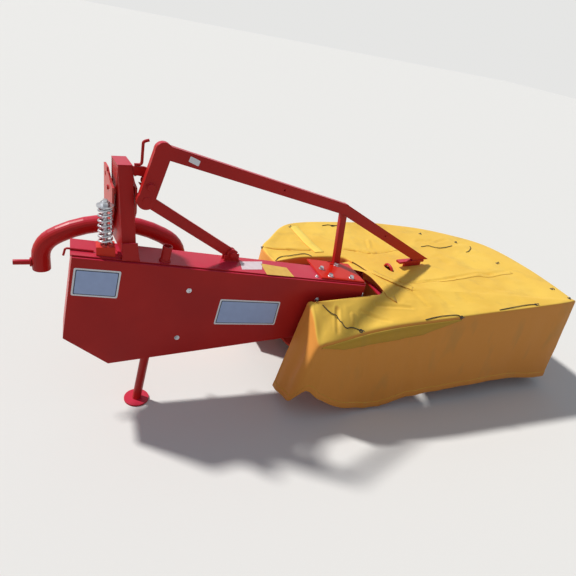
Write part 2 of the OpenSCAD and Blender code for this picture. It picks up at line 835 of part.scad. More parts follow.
module mast() {
    color(paint)
        on_mast()
            difference() {
                rotate([90, 0, 90])
                    linear_extrude(mast_w)
                        mast_side();
                difference() {
                    translate([mast_wall, 0, 0])
                        rotate([90, 0, 90])
                            linear_extrude(mast_w - 2 * mast_wall)
                                mast_side(mast_wall + 1);
                    translate([0, cheek_d, mast_low - 1])
                        cube([mast_w, mast_wall, 2 * (pivot_z - mast_low)]);
                }
                pivot_bore(pivot_r + run_gap);
            }
    color(paint)
        on_mast()
            translate([-cap_lip, mast_rake - cap_lip, mast_top])
                cube([mast_w + cap_lip, mast_depth - mast_rake + 2 * cap_lip, cap_t]);
}

module pivot_lug() {
    color(paint) {
        above_housing(housing_t + base_t)
            on_mast()
                difference() {
                    union() {
                        translate([pivot_p - lug_w / 2, lug_near, pivot_z - 60])
                            cube([lug_w, lug_d, 60]);
                        translate([pivot_p, lug_near, pivot_z])
                            rotate([-90, 0, 0])
                                cylinder(r = lug_w / 2 + 4, h = lug_d);
                    }
                    pivot_bore(pivot_r + run_gap);
                }
        above_housing(housing_t + seat_gap)
            intersection() {
                on_mast()
                    translate([-10, 4, pivot_z - 100])
                        cube([mast_w + 20, cheek_d + 10, 100]);
                on_beam(-200, -housing_d, housing_top)
                    cube([400, 2 * housing_d, housing_t + base_t]);
            }
    }
}

module tilt_pivot() {
    color(zinc)
        on_mast()
            translate([pivot_p, -6, pivot_z])
                rotate([-90, 0, 0])
                    cylinder(r = pivot_r, h = cheek_d + 20);
}

// Plates that carry the tractor's top link, beside the mast and down to the arch
plate_gap = 12;
link_plate_t = 8;
link_hole_r = 9.75;
link_hole = [212, mast_top - 70];
spacer_r = 15;
link_spacers = [[130, link_hole[1] - 37], [165, arch_top + 68]];
plate_rear = 92;
plate_front_edge = link_hole[0] + 30;
plate_low = arch_top + 28;

module link_plate() {
    difference() {
        polygon([[plate_rear, link_hole[1] - 14], [plate_rear + 34, link_hole[1] - 6],
            [link_hole[0] - 22, link_hole[1] + 32], [plate_front_edge, link_hole[1] + 34],
            [plate_front_edge, plate_low], [plate_front_edge - plate_rear, plate_low],
            [plate_rear, link_hole[1] - 112]]);
        translate(link_hole)
            circle(r = link_hole_r);
    }
}

module top_link_plates() {
    color(paint)
        difference() {
            on_mast() {
                for (x = [-plate_gap - link_plate_t, mast_w + plate_gap])
                    translate([x, 0, 0])
                        rotate([90, 0, 90])
                            linear_extrude(link_plate_t)
                                link_plate();
                for (x = [-plate_gap, mast_w + seat_gap], p = link_spacers)
                    translate([x, p[0], p[1]])
                        rotate([0, 90, 0])
                            cylinder(r = spacer_r, h = plate_gap - seat_gap);
            }
            translate([-arch_x, arch_plane, 0])
                rotate([90, 0, 0])
                    tube(arch_path, arch_r + seat_gap, 24);
        }
}

// Plate with an arc slot for the truss arm's pin
tilt_plate_d = 85;
tilt_plate_t = 8;
tilt_pin = [93, arm_pin[1]];
slot_r = norm(tilt_pin - [pivot_p, pivot_z]);
slot_a = atan2(tilt_pin[1] - pivot_z, tilt_pin[0] - pivot_p);
slot_gap = 2.5;
tilt_side = mast_w + seat_gap;
module tilt_plate() {
    color(paint)
        on_mast()
            translate([0, tilt_plate_d + tilt_plate_t, 0])
                rotate([90, 0, 0])
                    linear_extrude(tilt_plate_t)
                        difference() {
                            polygon([[tilt_side, mast_top], [mast_w + 40, mast_top], tilt_pin + [39, 40],
                                tilt_pin + [41, -20], tilt_pin + [19, -35], tilt_pin + [-7, -32],
                                [tilt_side, tilt_pin[1] + 26]]);
                            for (a = [slot_a + tilt_lo : 1 : slot_a + tilt_hi])
                                translate([pivot_p, pivot_z] + slot_r * [cos(a), sin(a)])
                                    circle(r = pin_r + slot_gap, $fn = 32);
                        }
}

// Cranked locking rod on the plate's top edge
rod_r = 5.5;
crank = [[mast_w + 6, 0], [82, 0], [85, 84], [106, 90]];
module latch_handle() {
    color(paint)
        on_mast()
            translate([0, tilt_plate_d + tilt_plate_t / 2, mast_top + rod_r + seat_gap])
                rotate([90, 0, 0])
                    tube(rounded_path(crank, 2 * rod_r, 4), rod_r, 12);
}

belt_housing();
belt_cover();
joint_plate();
stand_sleeve();
spring_seat();
spring_rod();
tension_spring();
truss_bar();
truss_strut();
truss_brace();
brace_clevis();
truss_pins();
truss_lug();
pivot_lug();
tilt_pivot();
gear_beam();
gearbox_left();
gearbox_right();
input_housing();
guard_hoop();
guard_arms();
canvas_top();
canvas_skirt();
shaft_guard();
rod_hook();
drum_left();
drum_right();
knives_left();
knives_right();
skid_left();
skid_right();
skid_pin_left();
skid_pin_right();
input_shaft();
arch_tube();
link_pins();
mast();
top_link_plates();
tilt_plate();
latch_handle();
stand_tube();
stand_foot();
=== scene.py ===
# %% [markdown]
# A rotary mower with two drums, dressed in Blender
#
# The machine's steelwork arrives as finished solids, each in its right place. This lesson gives
# every solid its paint or plating and adds what is too small or too soft for the solids: the
# yellow canvas, bolts, weld seams, plates, eyelets and elastic ties. All lengths are in metres,
# or in millimetres where MM multiplies them. X runs to the machine's right, Y forward and Z up.

# %% Load the frame
import json
import math

import bmesh
import bpy
from mathutils import Matrix, Vector, noise
from mathutils.bvhtree import BVHTree


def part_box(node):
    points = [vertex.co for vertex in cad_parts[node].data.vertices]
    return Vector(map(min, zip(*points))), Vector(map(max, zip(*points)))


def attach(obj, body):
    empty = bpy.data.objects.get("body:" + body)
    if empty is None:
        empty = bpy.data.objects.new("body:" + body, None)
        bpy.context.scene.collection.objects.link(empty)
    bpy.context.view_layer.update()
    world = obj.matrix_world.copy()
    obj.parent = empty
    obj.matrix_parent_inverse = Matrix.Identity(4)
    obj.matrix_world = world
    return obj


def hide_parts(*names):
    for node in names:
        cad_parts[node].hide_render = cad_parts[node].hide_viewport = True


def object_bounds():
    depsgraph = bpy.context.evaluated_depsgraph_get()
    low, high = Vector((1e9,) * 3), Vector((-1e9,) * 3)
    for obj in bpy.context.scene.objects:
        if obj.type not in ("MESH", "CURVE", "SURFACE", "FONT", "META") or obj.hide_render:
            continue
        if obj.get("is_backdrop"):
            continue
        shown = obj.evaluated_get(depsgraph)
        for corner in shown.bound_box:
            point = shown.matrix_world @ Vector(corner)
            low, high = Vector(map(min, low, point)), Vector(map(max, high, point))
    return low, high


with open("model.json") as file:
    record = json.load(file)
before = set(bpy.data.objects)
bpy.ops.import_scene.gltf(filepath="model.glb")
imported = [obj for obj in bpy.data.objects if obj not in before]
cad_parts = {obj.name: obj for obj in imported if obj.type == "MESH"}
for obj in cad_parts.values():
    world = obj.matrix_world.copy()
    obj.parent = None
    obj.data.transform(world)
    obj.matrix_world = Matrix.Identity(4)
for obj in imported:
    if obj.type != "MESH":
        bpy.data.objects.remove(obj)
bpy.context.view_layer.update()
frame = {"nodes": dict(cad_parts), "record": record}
nodes = frame["nodes"]

# %% [markdown]
# The camera
#
# The photographer stood behind the belt housing and a little to its left, held the camera at
# eye height, tilted it down and let it lean to one side. Three turns say this plainly: one
# about the vertical, one down from the horizon, and one about the line of sight.

# %% Camera
CAMERA_AT = (-1.1245, -1.968, 1.621)
CAMERA_HEADING = 26.83
CAMERA_DOWN = 29.11
CAMERA_LEAN = 11.92
CAMERA_LENS_MM = 29.77
SENSOR_MM = 36
camera_turn = (
    Matrix.Rotation(math.radians(-CAMERA_HEADING), 4, "Z")
    @ Matrix.Rotation(math.radians(90 - CAMERA_DOWN), 4, "X")
    @ Matrix.Rotation(math.radians(CAMERA_LEAN), 4, "Z")
)

camera_data = bpy.data.cameras.new("camera")
camera_data.lens = CAMERA_LENS_MM
camera_data.sensor_width = SENSOR_MM
camera = bpy.data.objects.new("camera", camera_data)
camera.matrix_world = Matrix.Translation(CAMERA_AT) @ camera_turn
bpy.context.scene.collection.objects.link(camera)
bpy.context.scene.camera = camera
print("camera stands", round(Vector(CAMERA_AT).length, 2), "m from the origin")

# %% [markdown]
# Small helpers for materials
#
# A painted or plated surface is never one flat colour. Most finishes here are built in the same
# few steps: noise in object space varies the colour a little, another noise varies the
# roughness, and a fine bump breaks up the highlights. The helpers below keep each finish short.


# %% Node helpers
def new_material(name):
    """An empty node material, its tree and its shader."""
    material = bpy.data.materials.new(name)
    material.use_nodes = True
    return material, material.node_tree, material.node_tree.nodes["Principled BSDF"]


def feed(tree, value, socket):
    """An input linked to a socket, or set to a plain value."""
    if isinstance(value, bpy.types.NodeSocket):
        tree.links.new(value, socket)
    else:
        socket.default_value = value


def add_node(tree, kind, **inputs):
    """A node with some inputs fed by name."""
    node = tree.nodes.new(kind)
    for name, value in inputs.items():
        feed(tree, value, node.inputs[name.replace("_", " ")])
    return node


def object_place(tree):
    """The place in the object's own coordinates."""
    return tree.nodes.new("ShaderNodeTexCoord").outputs["Object"]


def object_noise(tree, scale, detail, stretch=(1, 1, 1)):
    """A noise value in the object's own coordinates, stretched along its axes."""
    place = add_node(tree, "ShaderNodeMapping", Vector=object_place(tree), Scale=stretch).outputs["Vector"]
    return add_node(tree, "ShaderNodeTexNoise", Vector=place, Scale=scale, Detail=detail).outputs["Fac"]


def ramp(tree, value, low, first, high, second):
    """A colour that runs from the first at a low value to the second at a high one."""
    node = add_node(tree, "ShaderNodeValToRGB", Fac=value)
    for element, position, colour in zip(node.color_ramp.elements, (low, high), (first, second)):
        element.position = position
        element.color = (*colour, 1)
    return node.outputs["Color"]


def mask(tree, value, low, high, most=1.0, least=0.0):
    """A value stretched so that low gives least and high gives most."""
    node = add_node(
        tree, "ShaderNodeMapRange", Value=value, From_Min=low, From_Max=high, To_Min=least, To_Max=most,
    )
    return node.outputs["Result"]


def combine(tree, operation, first, second):
    """Two values added or multiplied, kept between 0 and 1."""
    node = tree.nodes.new("ShaderNodeMath")
    node.operation = operation
    node.use_clamp = True
    feed(tree, first, node.inputs[0])
    feed(tree, second, node.inputs[1])
    return node.outputs["Value"]


def mix_colours(tree, amount, first, second):
    """Two colours mixed by a linked amount; each may be a socket or a plain colour."""
    node = tree.nodes.new("ShaderNodeMix")
    node.data_type = "RGBA"
    tree.links.new(amount, node.inputs[0])
    for value, socket in ((first, node.inputs[6]), (second, node.inputs[7])):
        feed(tree, value if isinstance(value, bpy.types.NodeSocket) else (*value, 1), socket)
    return node.outputs[2]


def add_bump(tree, shader, height, strength, distance):
    """Bump from a height socket, on top of a bump that is there already."""
    node = add_node(tree, "ShaderNodeBump", Height=height, Strength=strength, Distance=distance)
    if shader.inputs["Normal"].is_linked:
        tree.links.new(shader.inputs["Normal"].links[0].from_socket, node.inputs["Normal"])
    tree.links.new(node.outputs["Normal"], shader.inputs["Normal"])


def upright_part(tree, vector):
    """The part of a vector that points up."""
    return add_node(tree, "ShaderNodeSeparateXYZ", Vector=vector).outputs["Z"]


def facing_up(tree, low=0.2, high=1.0):
    """1 where a surface faces the sky and 0 where it faces sideways or down."""
    normal = tree.nodes.new("ShaderNodeNewGeometry").outputs["Normal"]
    return mask(tree, upright_part(tree, normal), low, high)


def vary_roughness(tree, shader, limits, scale):
    """Roughness that drifts between two limits."""
    smooth, rough = limits
    drift = mask(tree, object_noise(tree, scale, 6), 0.0, 1.0, rough, smooth)
    tree.links.new(drift, shader.inputs["Roughness"])


print("node helpers are ready")

# %% [markdown]
# Floor and light
#
# A studio floor is one large pale plane. It must stay simple, because it is there only to
# catch the shadow. In the photograph the sun stands in front of the machine and to its left,
# about half way up the sky, so a broad sun lamp shines from there and leaves the near side in
# open shade. The world only lifts the shadows. What the camera and the glosses see behind the
# floor is a plain pale tone of its own.

# %% Floor, sun and world
FLOOR_SIZE = 80.0
FLOOR_SEEN = (0.80, 0.80, 0.79)
FLOOR_BOUNCE = (0.42, 0.42, 0.41)
FLOOR_ROUGHNESS = 0.95
BACKDROP = (0.79, 0.79, 0.78, 1)
SUN_FROM = Vector((-0.50, 0.43, 0.755))
SUN_COLOUR = (1.0, 0.97, 0.92)
SUN_STRENGTH = 3.3
SUN_SOFTNESS = math.radians(4.5)
SKY_LIGHT = (0.84, 0.90, 1.0, 1)
SKY_STRENGTH = 0.30


def seen_directly(tree):
    """1 for rays that the camera, a gloss or a glass sends out, 0 for the light's own rays."""
    path = tree.nodes.new("ShaderNodeLightPath").outputs
    seen = combine(tree, "ADD", path["Is Camera Ray"], path["Is Glossy Ray"])
    return combine(tree, "ADD", seen, path["Is Transmission Ray"])


bpy.ops.mesh.primitive_plane_add(size=FLOOR_SIZE, location=(0, 0, 0))
floor = bpy.context.object
floor.name = "floor"
floor_material, floor_tree, floor_shader = new_material("floor_pale")
floor_tone = mix_colours(floor_tree, seen_directly(floor_tree), FLOOR_BOUNCE, FLOOR_SEEN)
floor_tree.links.new(floor_tone, floor_shader.inputs["Base Color"])
floor_shader.inputs["Roughness"].default_value = FLOOR_ROUGHNESS
floor_shader.inputs["Specular IOR Level"].default_value = 0.1
floor.data.materials.append(floor_material)
floor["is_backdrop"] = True

sun_data = bpy.data.lights.new("sun", "SUN")
sun_data.energy = SUN_STRENGTH
sun_data.angle = SUN_SOFTNESS
sun_data.color = SUN_COLOUR
sun = bpy.data.objects.new("sun", sun_data)
sun.rotation_mode = "QUATERNION"
sun.rotation_quaternion = (-SUN_FROM).to_track_quat("-Z", "Y")
bpy.context.scene.collection.objects.link(sun)

world = bpy.data.worlds.new("studio")
bpy.context.scene.world = world
world.use_nodes = True
sky_tree = world.node_tree
sky = sky_tree.nodes["Background"]
sky.inputs["Color"].default_value = SKY_LIGHT
sky.inputs["Strength"].default_value = SKY_STRENGTH
backdrop = add_node(sky_tree, "ShaderNodeBackground", Color=BACKDROP, Strength=1.0)
choice = add_node(sky_tree, "ShaderNodeMixShader", Fac=seen_directly(sky_tree))
sky_tree.links.new(sky.outputs["Background"], choice.inputs[1])
sky_tree.links.new(backdrop.outputs["Background"], choice.inputs[2])
sky_tree.links.new(choice.outputs["Shader"], sky_tree.nodes["World Output"].inputs["Surface"])
bpy.context.scene.view_settings.view_transform = "Standard"
print("sun stands", round(math.degrees(math.asin(SUN_FROM.normalized().z))), "degrees high")

# %% [markdown]
# Red gloss paint
#
# Nearly all of the steel is sprayed in one orange-red enamel. Sprayed enamel shows a faint orange-peel bump
# and a little dust where it faces up, and there its red is mixed towards pink, partly sun-faded paint and
# partly a painted reflection of the sky. Roughness stays fairly low so that soft highlights run along the
# sheet metal. The drums have the same enamel, but grass and dust have dulled it.

# %% Paint
RED = (0.56, 0.022, 0.019)
RED_DEEP = (0.47, 0.017, 0.016)
# Pink for what faces up: partly sun-faded paint, partly a painted reflection of the sky
RED_FADE_AND_SHEEN = (0.66, 0.035, 0.105)
DUST = (0.50, 0.40, 0.34)


def paint(name, colour, deep, fade_and_sheen=0.6, dust=0.05, roughness=(0.26, 0.40)):
    """Sprayed enamel with dust and a pink tone on top, partly fading and partly a painted sky reflection, and
    orange peel all over.
    """
    material, tree, shader = new_material(name)
    tone = ramp(tree, object_noise(tree, 3.5, 5), 0.35, deep, 0.62, colour)
    # What faces up is mixed towards pink, partly fading and partly a painted sky reflection
    tone = mix_colours(tree, mask(tree, facing_up(tree, 0.5), 0, 1, fade_and_sheen), tone, RED_FADE_AND_SHEEN)
    specks = mask(tree, object_noise(tree, 9, 8), 0.42, 0.8, dust)
    tone = mix_colours(tree, combine(tree, "MULTIPLY", facing_up(tree), specks), tone, DUST)
    tree.links.new(tone, shader.inputs["Base Color"])
    vary_roughness(tree, shader, roughness, 12)
    shader.inputs["Specular IOR Level"].default_value = 0.18
    add_bump(tree, shader, object_noise(tree, 260, 2), 0.06, 0.0006)
    add_bump(tree, shader, object_noise(tree, 6, 3), 0.10, 0.004)
    return material


red_paint = paint("red_enamel", RED, RED_DEEP)
weld_paint = paint("red_enamel_welds", RED_DEEP, (0.36, 0.018, 0.016), 0.25, 0.2, (0.3, 0.5))
drum_paint = paint("drum_enamel", (0.60, 0.050, 0.018), (0.40, 0.028, 0.012), 0.1, 0.15, (0.35, 0.6))
plate_paint = paint("orange_enamel", (0.68, 0.016, 0.004), (0.62, 0.012, 0.003), 0.0, 0.0)
# The spring seat's orange is partly its own brighter enamel and partly painted light on its shaded rear face
seat_paint_and_light = paint("seat_enamel_and_painted_light", (0.86, 0.055, 0.022), (0.76, 0.040, 0.016), 0.2)
# The link plates' pale salmon is a painted highlight: the sun's glare on their left faces
glare_paint = paint("enamel_painted_glare", (0.70, 0.11, 0.085), (0.64, 0.08, 0.065), 0.3)
print("paints", red_paint.name, weld_paint.name, drum_paint.name, plate_paint.name)

# %% [markdown]
# Bare and plated metal, plastic and film
#
# The spring, pins and bolts are zinc plated, the knives are plain hardened steel, and the skid dishes are
# scraped bare by the ground. All are metallic; what sets them apart is the roughness and how much brown dirt
# lies in the noise. Plates and labels are film, and here they stay blank: a plain field whose blue is a
# painted reflection of the sky, a dark border line and a pale margin.


# %% Metals, plastics and films
def metal(name, bright, dull, roughness, scale, stretch=(1, 1, 1)):
    """Metal whose tone and roughness drift between two limits."""
    material, tree, shader = new_material(name)
    shader.inputs["Metallic"].default_value = 1.0
    grain = object_noise(tree, scale, 7, stretch)
    tree.links.new(ramp(tree, grain, 0.35, dull, 0.65, bright), shader.inputs["Base Color"])
    vary_roughness(tree, shader, roughness, scale * 1.7)
    add_bump(tree, shader, grain, 0.15, 0.0008)
    return material


def plain(name, colour, deep, roughness, scale=90, bump=0.2):
    """Plastic, rubber or printed film: a colour with grain."""
    material, tree, shader = new_material(name)
    grain = object_noise(tree, scale, 5)
    tree.links.new(ramp(tree, grain, 0.3, deep, 0.7, colour), shader.inputs["Base Color"])
    shader.inputs["Roughness"].default_value = roughness
    add_bump(tree, shader, grain, bump, 0.0006)
    return material


zinc = metal("zinc_plate", (0.66, 0.68, 0.72), (0.38, 0.40, 0.44), (0.24, 0.42), 45)
knife_steel = metal("knife_steel", (0.42, 0.41, 0.40), (0.16, 0.13, 0.11), (0.30, 0.55), 25, (1, 4, 1))
skid_steel = metal("skid_steel", (0.36, 0.34, 0.32), (0.17, 0.14, 0.12), (0.38, 0.6), 22, (2, 1, 1))
black_plastic = plain("black_plastic", (0.030, 0.030, 0.032), (0.018, 0.018, 0.020), 0.45)
rubber_cord = plain("elastic_tie", (0.05, 0.045, 0.04), (0.02, 0.018, 0.016), 0.7, 400, 0.5)
thread = plain("sewing_thread", (0.62, 0.38, 0.08), (0.45, 0.25, 0.05), 0.8, 300, 0.5)
# The plate's blue field is a painted reflection of the sky in a pale plate
plate_sky_blue = plain("plate_painted_sky_blue", (0.43, 0.55, 0.85), (0.39, 0.50, 0.79), 0.35, 30, 0.05)
plate_rim = plain("plate_white", (0.96, 0.97, 1.0), (0.90, 0.92, 0.97), 0.35, 30, 0.05)
plate_line = plain("plate_dark_line", (0.035, 0.05, 0.10), (0.03, 0.04, 0.08), 0.4, 30, 0.05)
label_yellow = plain("label_yellow", (0.80, 0.50, 0.085), (0.70, 0.41, 0.06), 0.45, 40, 0.1)
label_pale = plain("label_pale", (0.80, 0.70, 0.74), (0.72, 0.58, 0.64), 0.4, 40, 0.1)
print("metals and films are ready")

# %% [markdown]
# Where each finish goes
#
# The record of the machine names a finish for every solid. One table turns that name into a material here, so
# a solid that is added later is painted without another line. Three solids have a red of their own, because
# the photograph shows them brighter: the joint plate a plain orange red without the pink tone, the spring
# seat a brighter orange that is partly its own enamel and partly painted light, and the link plates a pale
# salmon that is a painted highlight of the sun's glare.

# %% Finish the solids
FINISHES = {
    "red_paint": red_paint,
    "drum_paint": drum_paint,
    "zinc": zinc,
    "knife_steel": knife_steel,
    "skid_steel": skid_steel,
    "black_plastic": black_plastic,
}
OWN_FINISH = {"joint_plate": plate_paint, "spring_seat": seat_paint_and_light, "top_link_plates": glare_paint}
EDGE_ROUND = 0.0012
MERGE_REACH = 0.00002
SHARP_ANGLE = math.radians(35)
NO_ROUNDING = {"tension_spring", "arch_tube", "guard_hoop", "latch_handle", "rod_hook"}


def soften(piece):
    """Rounded and smoothly shaded edges, made by modifiers so that the mesh stays as it is."""
    weld = piece.modifiers.new("weld", "WELD")
    weld.merge_threshold = MERGE_REACH
    bevel = piece.modifiers.new("rounding", "BEVEL")
    bevel.width = EDGE_ROUND
    bevel.segments = 2
    bevel.limit_method = "ANGLE"
    bevel.angle_limit = SHARP_ANGLE
    bevel.harden_normals = False


slot_of = {part["node"]: part["material_slot"] for part in frame["record"]["subparts"]}
for name, piece in sorted(nodes.items()):
    finish = OWN_FINISH.get(name, FINISHES.get(slot_of.get(name)))
    if finish is None:
        continue
    piece.data.materials.clear()
    piece.data.materials.append(finish)
    if name not in NO_ROUNDING:
        soften(piece)
print("finished solids", sum(1 for n in nodes if slot_of.get(n) in FINISHES))

# %% [markdown]
# Places on the machine
#
# Bolts and welds sit on parts that are turned: the housing slopes down to the right, and the
# truss and mast are turned a little forward. Giving each of these parts its own axes lets every
# small piece be placed by plain millimetres on it, as a fitter would measure them.

# %% Part axes and facing directions
MM = 0.001
BEAM_SLOPE = math.radians(7.2)
TRUSS_TURN = math.radians(8)
on_floor = Matrix.Identity(4)
on_beam = Matrix.Translation((-0.995, -0.250, 0.463)) @ Matrix.Rotation(BEAM_SLOPE, 4, "Y")
on_truss = Matrix.Translation((-0.540, -0.215, 0)) @ Matrix.Rotation(TRUSS_TURN, 4, "Z")
on_mast = Matrix.Translation((-0.986, -0.305, 0)) @ Matrix.Rotation(TRUSS_TURN, 4, "Z")
QUARTER = math.pi / 2
FACING = {
    "up": Matrix.Identity(4),
    "rear": Matrix.Rotation(QUARTER, 4, "X"),
    "front": Matrix.Rotation(-QUARTER, 4, "X"),
    "right": Matrix.Rotation(QUARTER, 4, "Y"),
    "left": Matrix.Rotation(-QUARTER, 4, "Y"),
}


def spot(base, x, y, z, facing="up"):
    """A place given in millimetres on a part, with its own outward direction."""
    return base @ Matrix.Translation((x * MM, y * MM, z * MM)) @ FACING[facing]


def spots_round(base, centre, radius, count, first=0.0, facing="up"):
    """Places evenly round a centre, all facing one way, the first at an angle in degrees."""
    x, y, z = centre
    places = []
    for k in range(count):
        a = math.radians(first + 360 * k / count)
        across, aside = radius * math.cos(a), radius * math.sin(a)
        there = (x + across, y + aside, z) if facing == "up" else (x + across, y, z + aside)
        places.append(spot(base, *there, facing))
    return places


def point(base, x, y, z):
    """A point given in millimetres on a part."""
    return base @ Vector((x * MM, y * MM, z * MM))


print("input shaft's centre", tuple(round(v, 3) for v in point(on_beam, 0, 0, 0)))

# %% [markdown]
# Turned and swept forms
#
# Washers, bolt heads and pins are turned forms: a profile of radius and height about an axis.
# With six sides the same routine gives a hexagon. Welds, cords and bent rods are swept forms: a
# ring of points carried along a line. All write into a bmesh, so that all the bolts of one
# body become one mesh.


# %% Mesh builders
def bridge(bm, rings, ends=True):
    """Faces between equal rings of corners, where a corner may repeat, and one over each end."""
    for low, high in zip(rings, rings[1:]):
        for k in range(len(low)):
            after = (k + 1) % len(low)
            corners = list(dict.fromkeys((low[k], low[after], high[after], high[k])))
            if len(corners) > 2:
                bm.faces.new(corners)
    if ends:
        bm.faces.new(rings[0][::-1])
        bm.faces.new(rings[-1])


def circle(place, radius, height, sides):
    """Points evenly round a place's own axis, in millimetres."""
    angles = (2 * math.pi * k / sides for k in range(sides))
    return [point(place, radius * math.cos(a), radius * math.sin(a), height) for a in angles]


def turn(bm, place, profile, sides):
    """A turned form: a profile of (radius, height) in millimetres about a place's own axis."""
    rings = []
    for radius, height in profile:
        if radius:
            rings.append([bm.verts.new(p) for p in circle(place, radius, height, sides)])
        else:
            rings.append([bm.verts.new(point(place, 0, 0, height))] * sides)
    bridge(bm, rings, False)


def rod(bm, place, radius, low, high, sides):
    """A plain round bar between two heights."""
    turn(bm, place, [(0, low), (radius, low), (radius, high), (0, high)], sides)


def sweep(bm, points, radius_at, sides=8):
    """A round bar along points; its radius may change with the distance run, in metres."""
    rings, side, run = [], None, 0.0
    for i, here in enumerate(points):
        before, after = points[max(i - 1, 0)], points[min(i + 1, len(points) - 1)]
        ahead = (after - before).normalized()
        side = ahead.orthogonal() if side is None else side
        side = (side - ahead * side.dot(ahead)).normalized()
        up = ahead.cross(side)
        radius = radius_at(run)
        rings.append([
            bm.verts.new(here + radius * (side * math.cos(a) + up * math.sin(a)))
            for a in (2 * math.pi * k / sides for k in range(sides))
        ])
        if i + 1 < len(points):
            run += (points[i + 1] - here).length
    bridge(bm, rings)


def resampled(points, step):
    """The same line with points a step apart."""
    out = [points[0]]
    for a, b in zip(points, points[1:]):
        count = max(1, round((b - a).length / step))
        out += [a.lerp(b, k / count) for k in range(1, count + 1)]
    return out


def slab(bm, base, outline, low, high):
    """A flat plate from an outline in millimetres between two heights on a part."""
    bridge(bm, [[bm.verts.new(point(base, x, y, height)) for x, y in outline] for height in (low, high)])


def add_piece(name, mesh, material, body):
    """A mesh as a named piece of the machine, with its finish, on a body."""
    piece = bpy.data.objects.new(name, mesh)
    bpy.context.scene.collection.objects.link(piece)
    mesh.materials.append(material)
    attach(piece, body)
    return piece


def finish_piece(name, bm, slot, body="frame", material=None):
    """The piece that a bmesh holds, smooth where it is round and sharp at its edges."""
    bmesh.ops.recalc_face_normals(bm, faces=bm.faces)
    mesh = bpy.data.meshes.new(name)
    bm.to_mesh(mesh)
    bm.free()
    mesh.shade_smooth()
    mesh.set_sharp_from_angle(angle=SHARP_ANGLE)
    piece = add_piece(name, mesh, material or FINISHES[slot], body)
    print(name, len(mesh.polygons), "faces")
    return piece


WASHER_THICK = 2.4


def washer(bm, place, radius, rise=0.0, thick=WASHER_THICK):
    """A flat washer with a broken edge."""
    turn(bm, place, [(0, rise), (radius, rise), (radius, rise + thick - 0.5), (radius - 0.5, rise + thick),
                     (0, rise + thick)], 24)


def hexagon(bm, place, flats, height, rise=0.0):
    """A bolt head or nut with chamfered corners."""
    corner = flats / 2 / math.cos(math.pi / 6)
    turn(bm, place, [(0, rise), (corner, rise), (corner, rise + height * 0.82),
                     (corner * 0.88, rise + height), (0, rise + height)], 6)


def bolt(bm, place, flats=19.0, washer_radius=13.0):
    """A washer and a hexagon."""
    washer(bm, place, washer_radius)
    hexagon(bm, place, flats, flats * 0.55, WASHER_THICK)


def screw(bm, place, head_radius=7.0, washer_radius=11.0):
    """A round head with a sunk socket on a washer."""
    washer(bm, place, washer_radius, 0, 1.8)
    turn(bm, place, [(0, 1.8), (head_radius, 1.8), (head_radius, 6.6), (head_radius - 0.8, 7.4),
                     (head_radius * 0.52, 7.4), (head_radius * 0.48, 4.0), (0, 4.0)], 20)


print("mesh builders are ready")

# %% [markdown]
# The canvas: its stations
#
# The cover over the drums is one sewn sheet of coated yellow cloth. It runs from the edge of the
# opening for the belt housing, over a tube frame, and hangs down as a skirt. Such a form is a
# ring of stations: each says where the sheet starts at the opening, where it bends over the
# frame, and where its hem hangs. Shares of the guard's length and half depth are in hundredths.

# %% Canvas stations
canvas_low, canvas_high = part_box("canvas_skirt")
GUARD_LEFT = canvas_low.x
GUARD_LENGTH = canvas_high.x - canvas_low.x
GUARD_HALF_DEPTH = canvas_high.y
GUARD_TOP = canvas_high.z
LOWEST_HEM = -48
HEM_MEAN = canvas_low.z - LOWEST_HEM * MM
OPENING_DROP = 0.029

# Columns: share of the opening's edge, then the top edge's place along and across and its drop
# in millimetres below the guard's top, then the hem's place along and across and its height
# in millimetres above or below its mean
STATIONS = (
    (0, 5.5, -63, 37, 0.5, -62.5, -25),
    (3, 5.5, -78, 75, 1, -76, -10),
    (6.5, 5.5, -94, 145, 1.5, -90, 15),
    (9, 8, -95, 142, 5, -95, 95),
    (12, 11.5, -94.5, 130, 9, -100, 55),
    (15.5, 15.5, -94, 115, 15, -100, 0),
    (19.5, 20.5, -94, 95, 22.5, -100, -35),
    (23, 25, -94, 83, 29.5, -100, LOWEST_HEM),
    (26, 30, -94, 73, 35, -100, -26),
    (29.5, 35, -94, 67, 41.5, -100, -6),
    (32.5, 42.5, -94, 60, 49, -100, 3),
    (34.5, 53, -94, 50, 59, -100, 12),
    (36, 66, -94, 37, 70, -100, 22),
    (37.5, 82.5, -94, 21, 83, -100, 16),
    (39, 97.5, -93, 4, 98.5, -100, -4),
    (41, 99, -86.5, 4, 100, -92, -6),
    (44, 99.5, -53.5, 0, 100, -55.5, 0),
    (46.5, 99.5, -21.5, 1, 100, -21.5, 5),
    (49, 98, 14, 4, 99, 16, 10),
    (51.5, 94.5, 38.5, 8, 95, 42, 10),
    (54, 87, 59, 12, 87.5, 63.5, 10),
    (56, 76.5, 78.5, 17, 77, 84, 10),
    (58.5, 65, 89.5, 21, 65.5, 95, 10),
    (62, 55.5, 95.5, 24, 55.5, 100, 10),
    (65.5, 40, 96.5, 26, 40, 100, 10),
    (71, 25.5, 94.5, 29, 25.5, 99, 10),
    (79, 16.5, 85, 33, 15.5, 89.5, 10),
    (87, 8, 55.5, 35, 6, 59, 15),
    (94.5, 3, 34, 35, 0.5, 35.5, 15),
    (100, 3.5, 3.5, 34, 0, 3.5, 20),
)
LAST_STATION = len(STATIONS) - 1
house_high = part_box("belt_housing")[1]
house_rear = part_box("belt_cover")[0].y
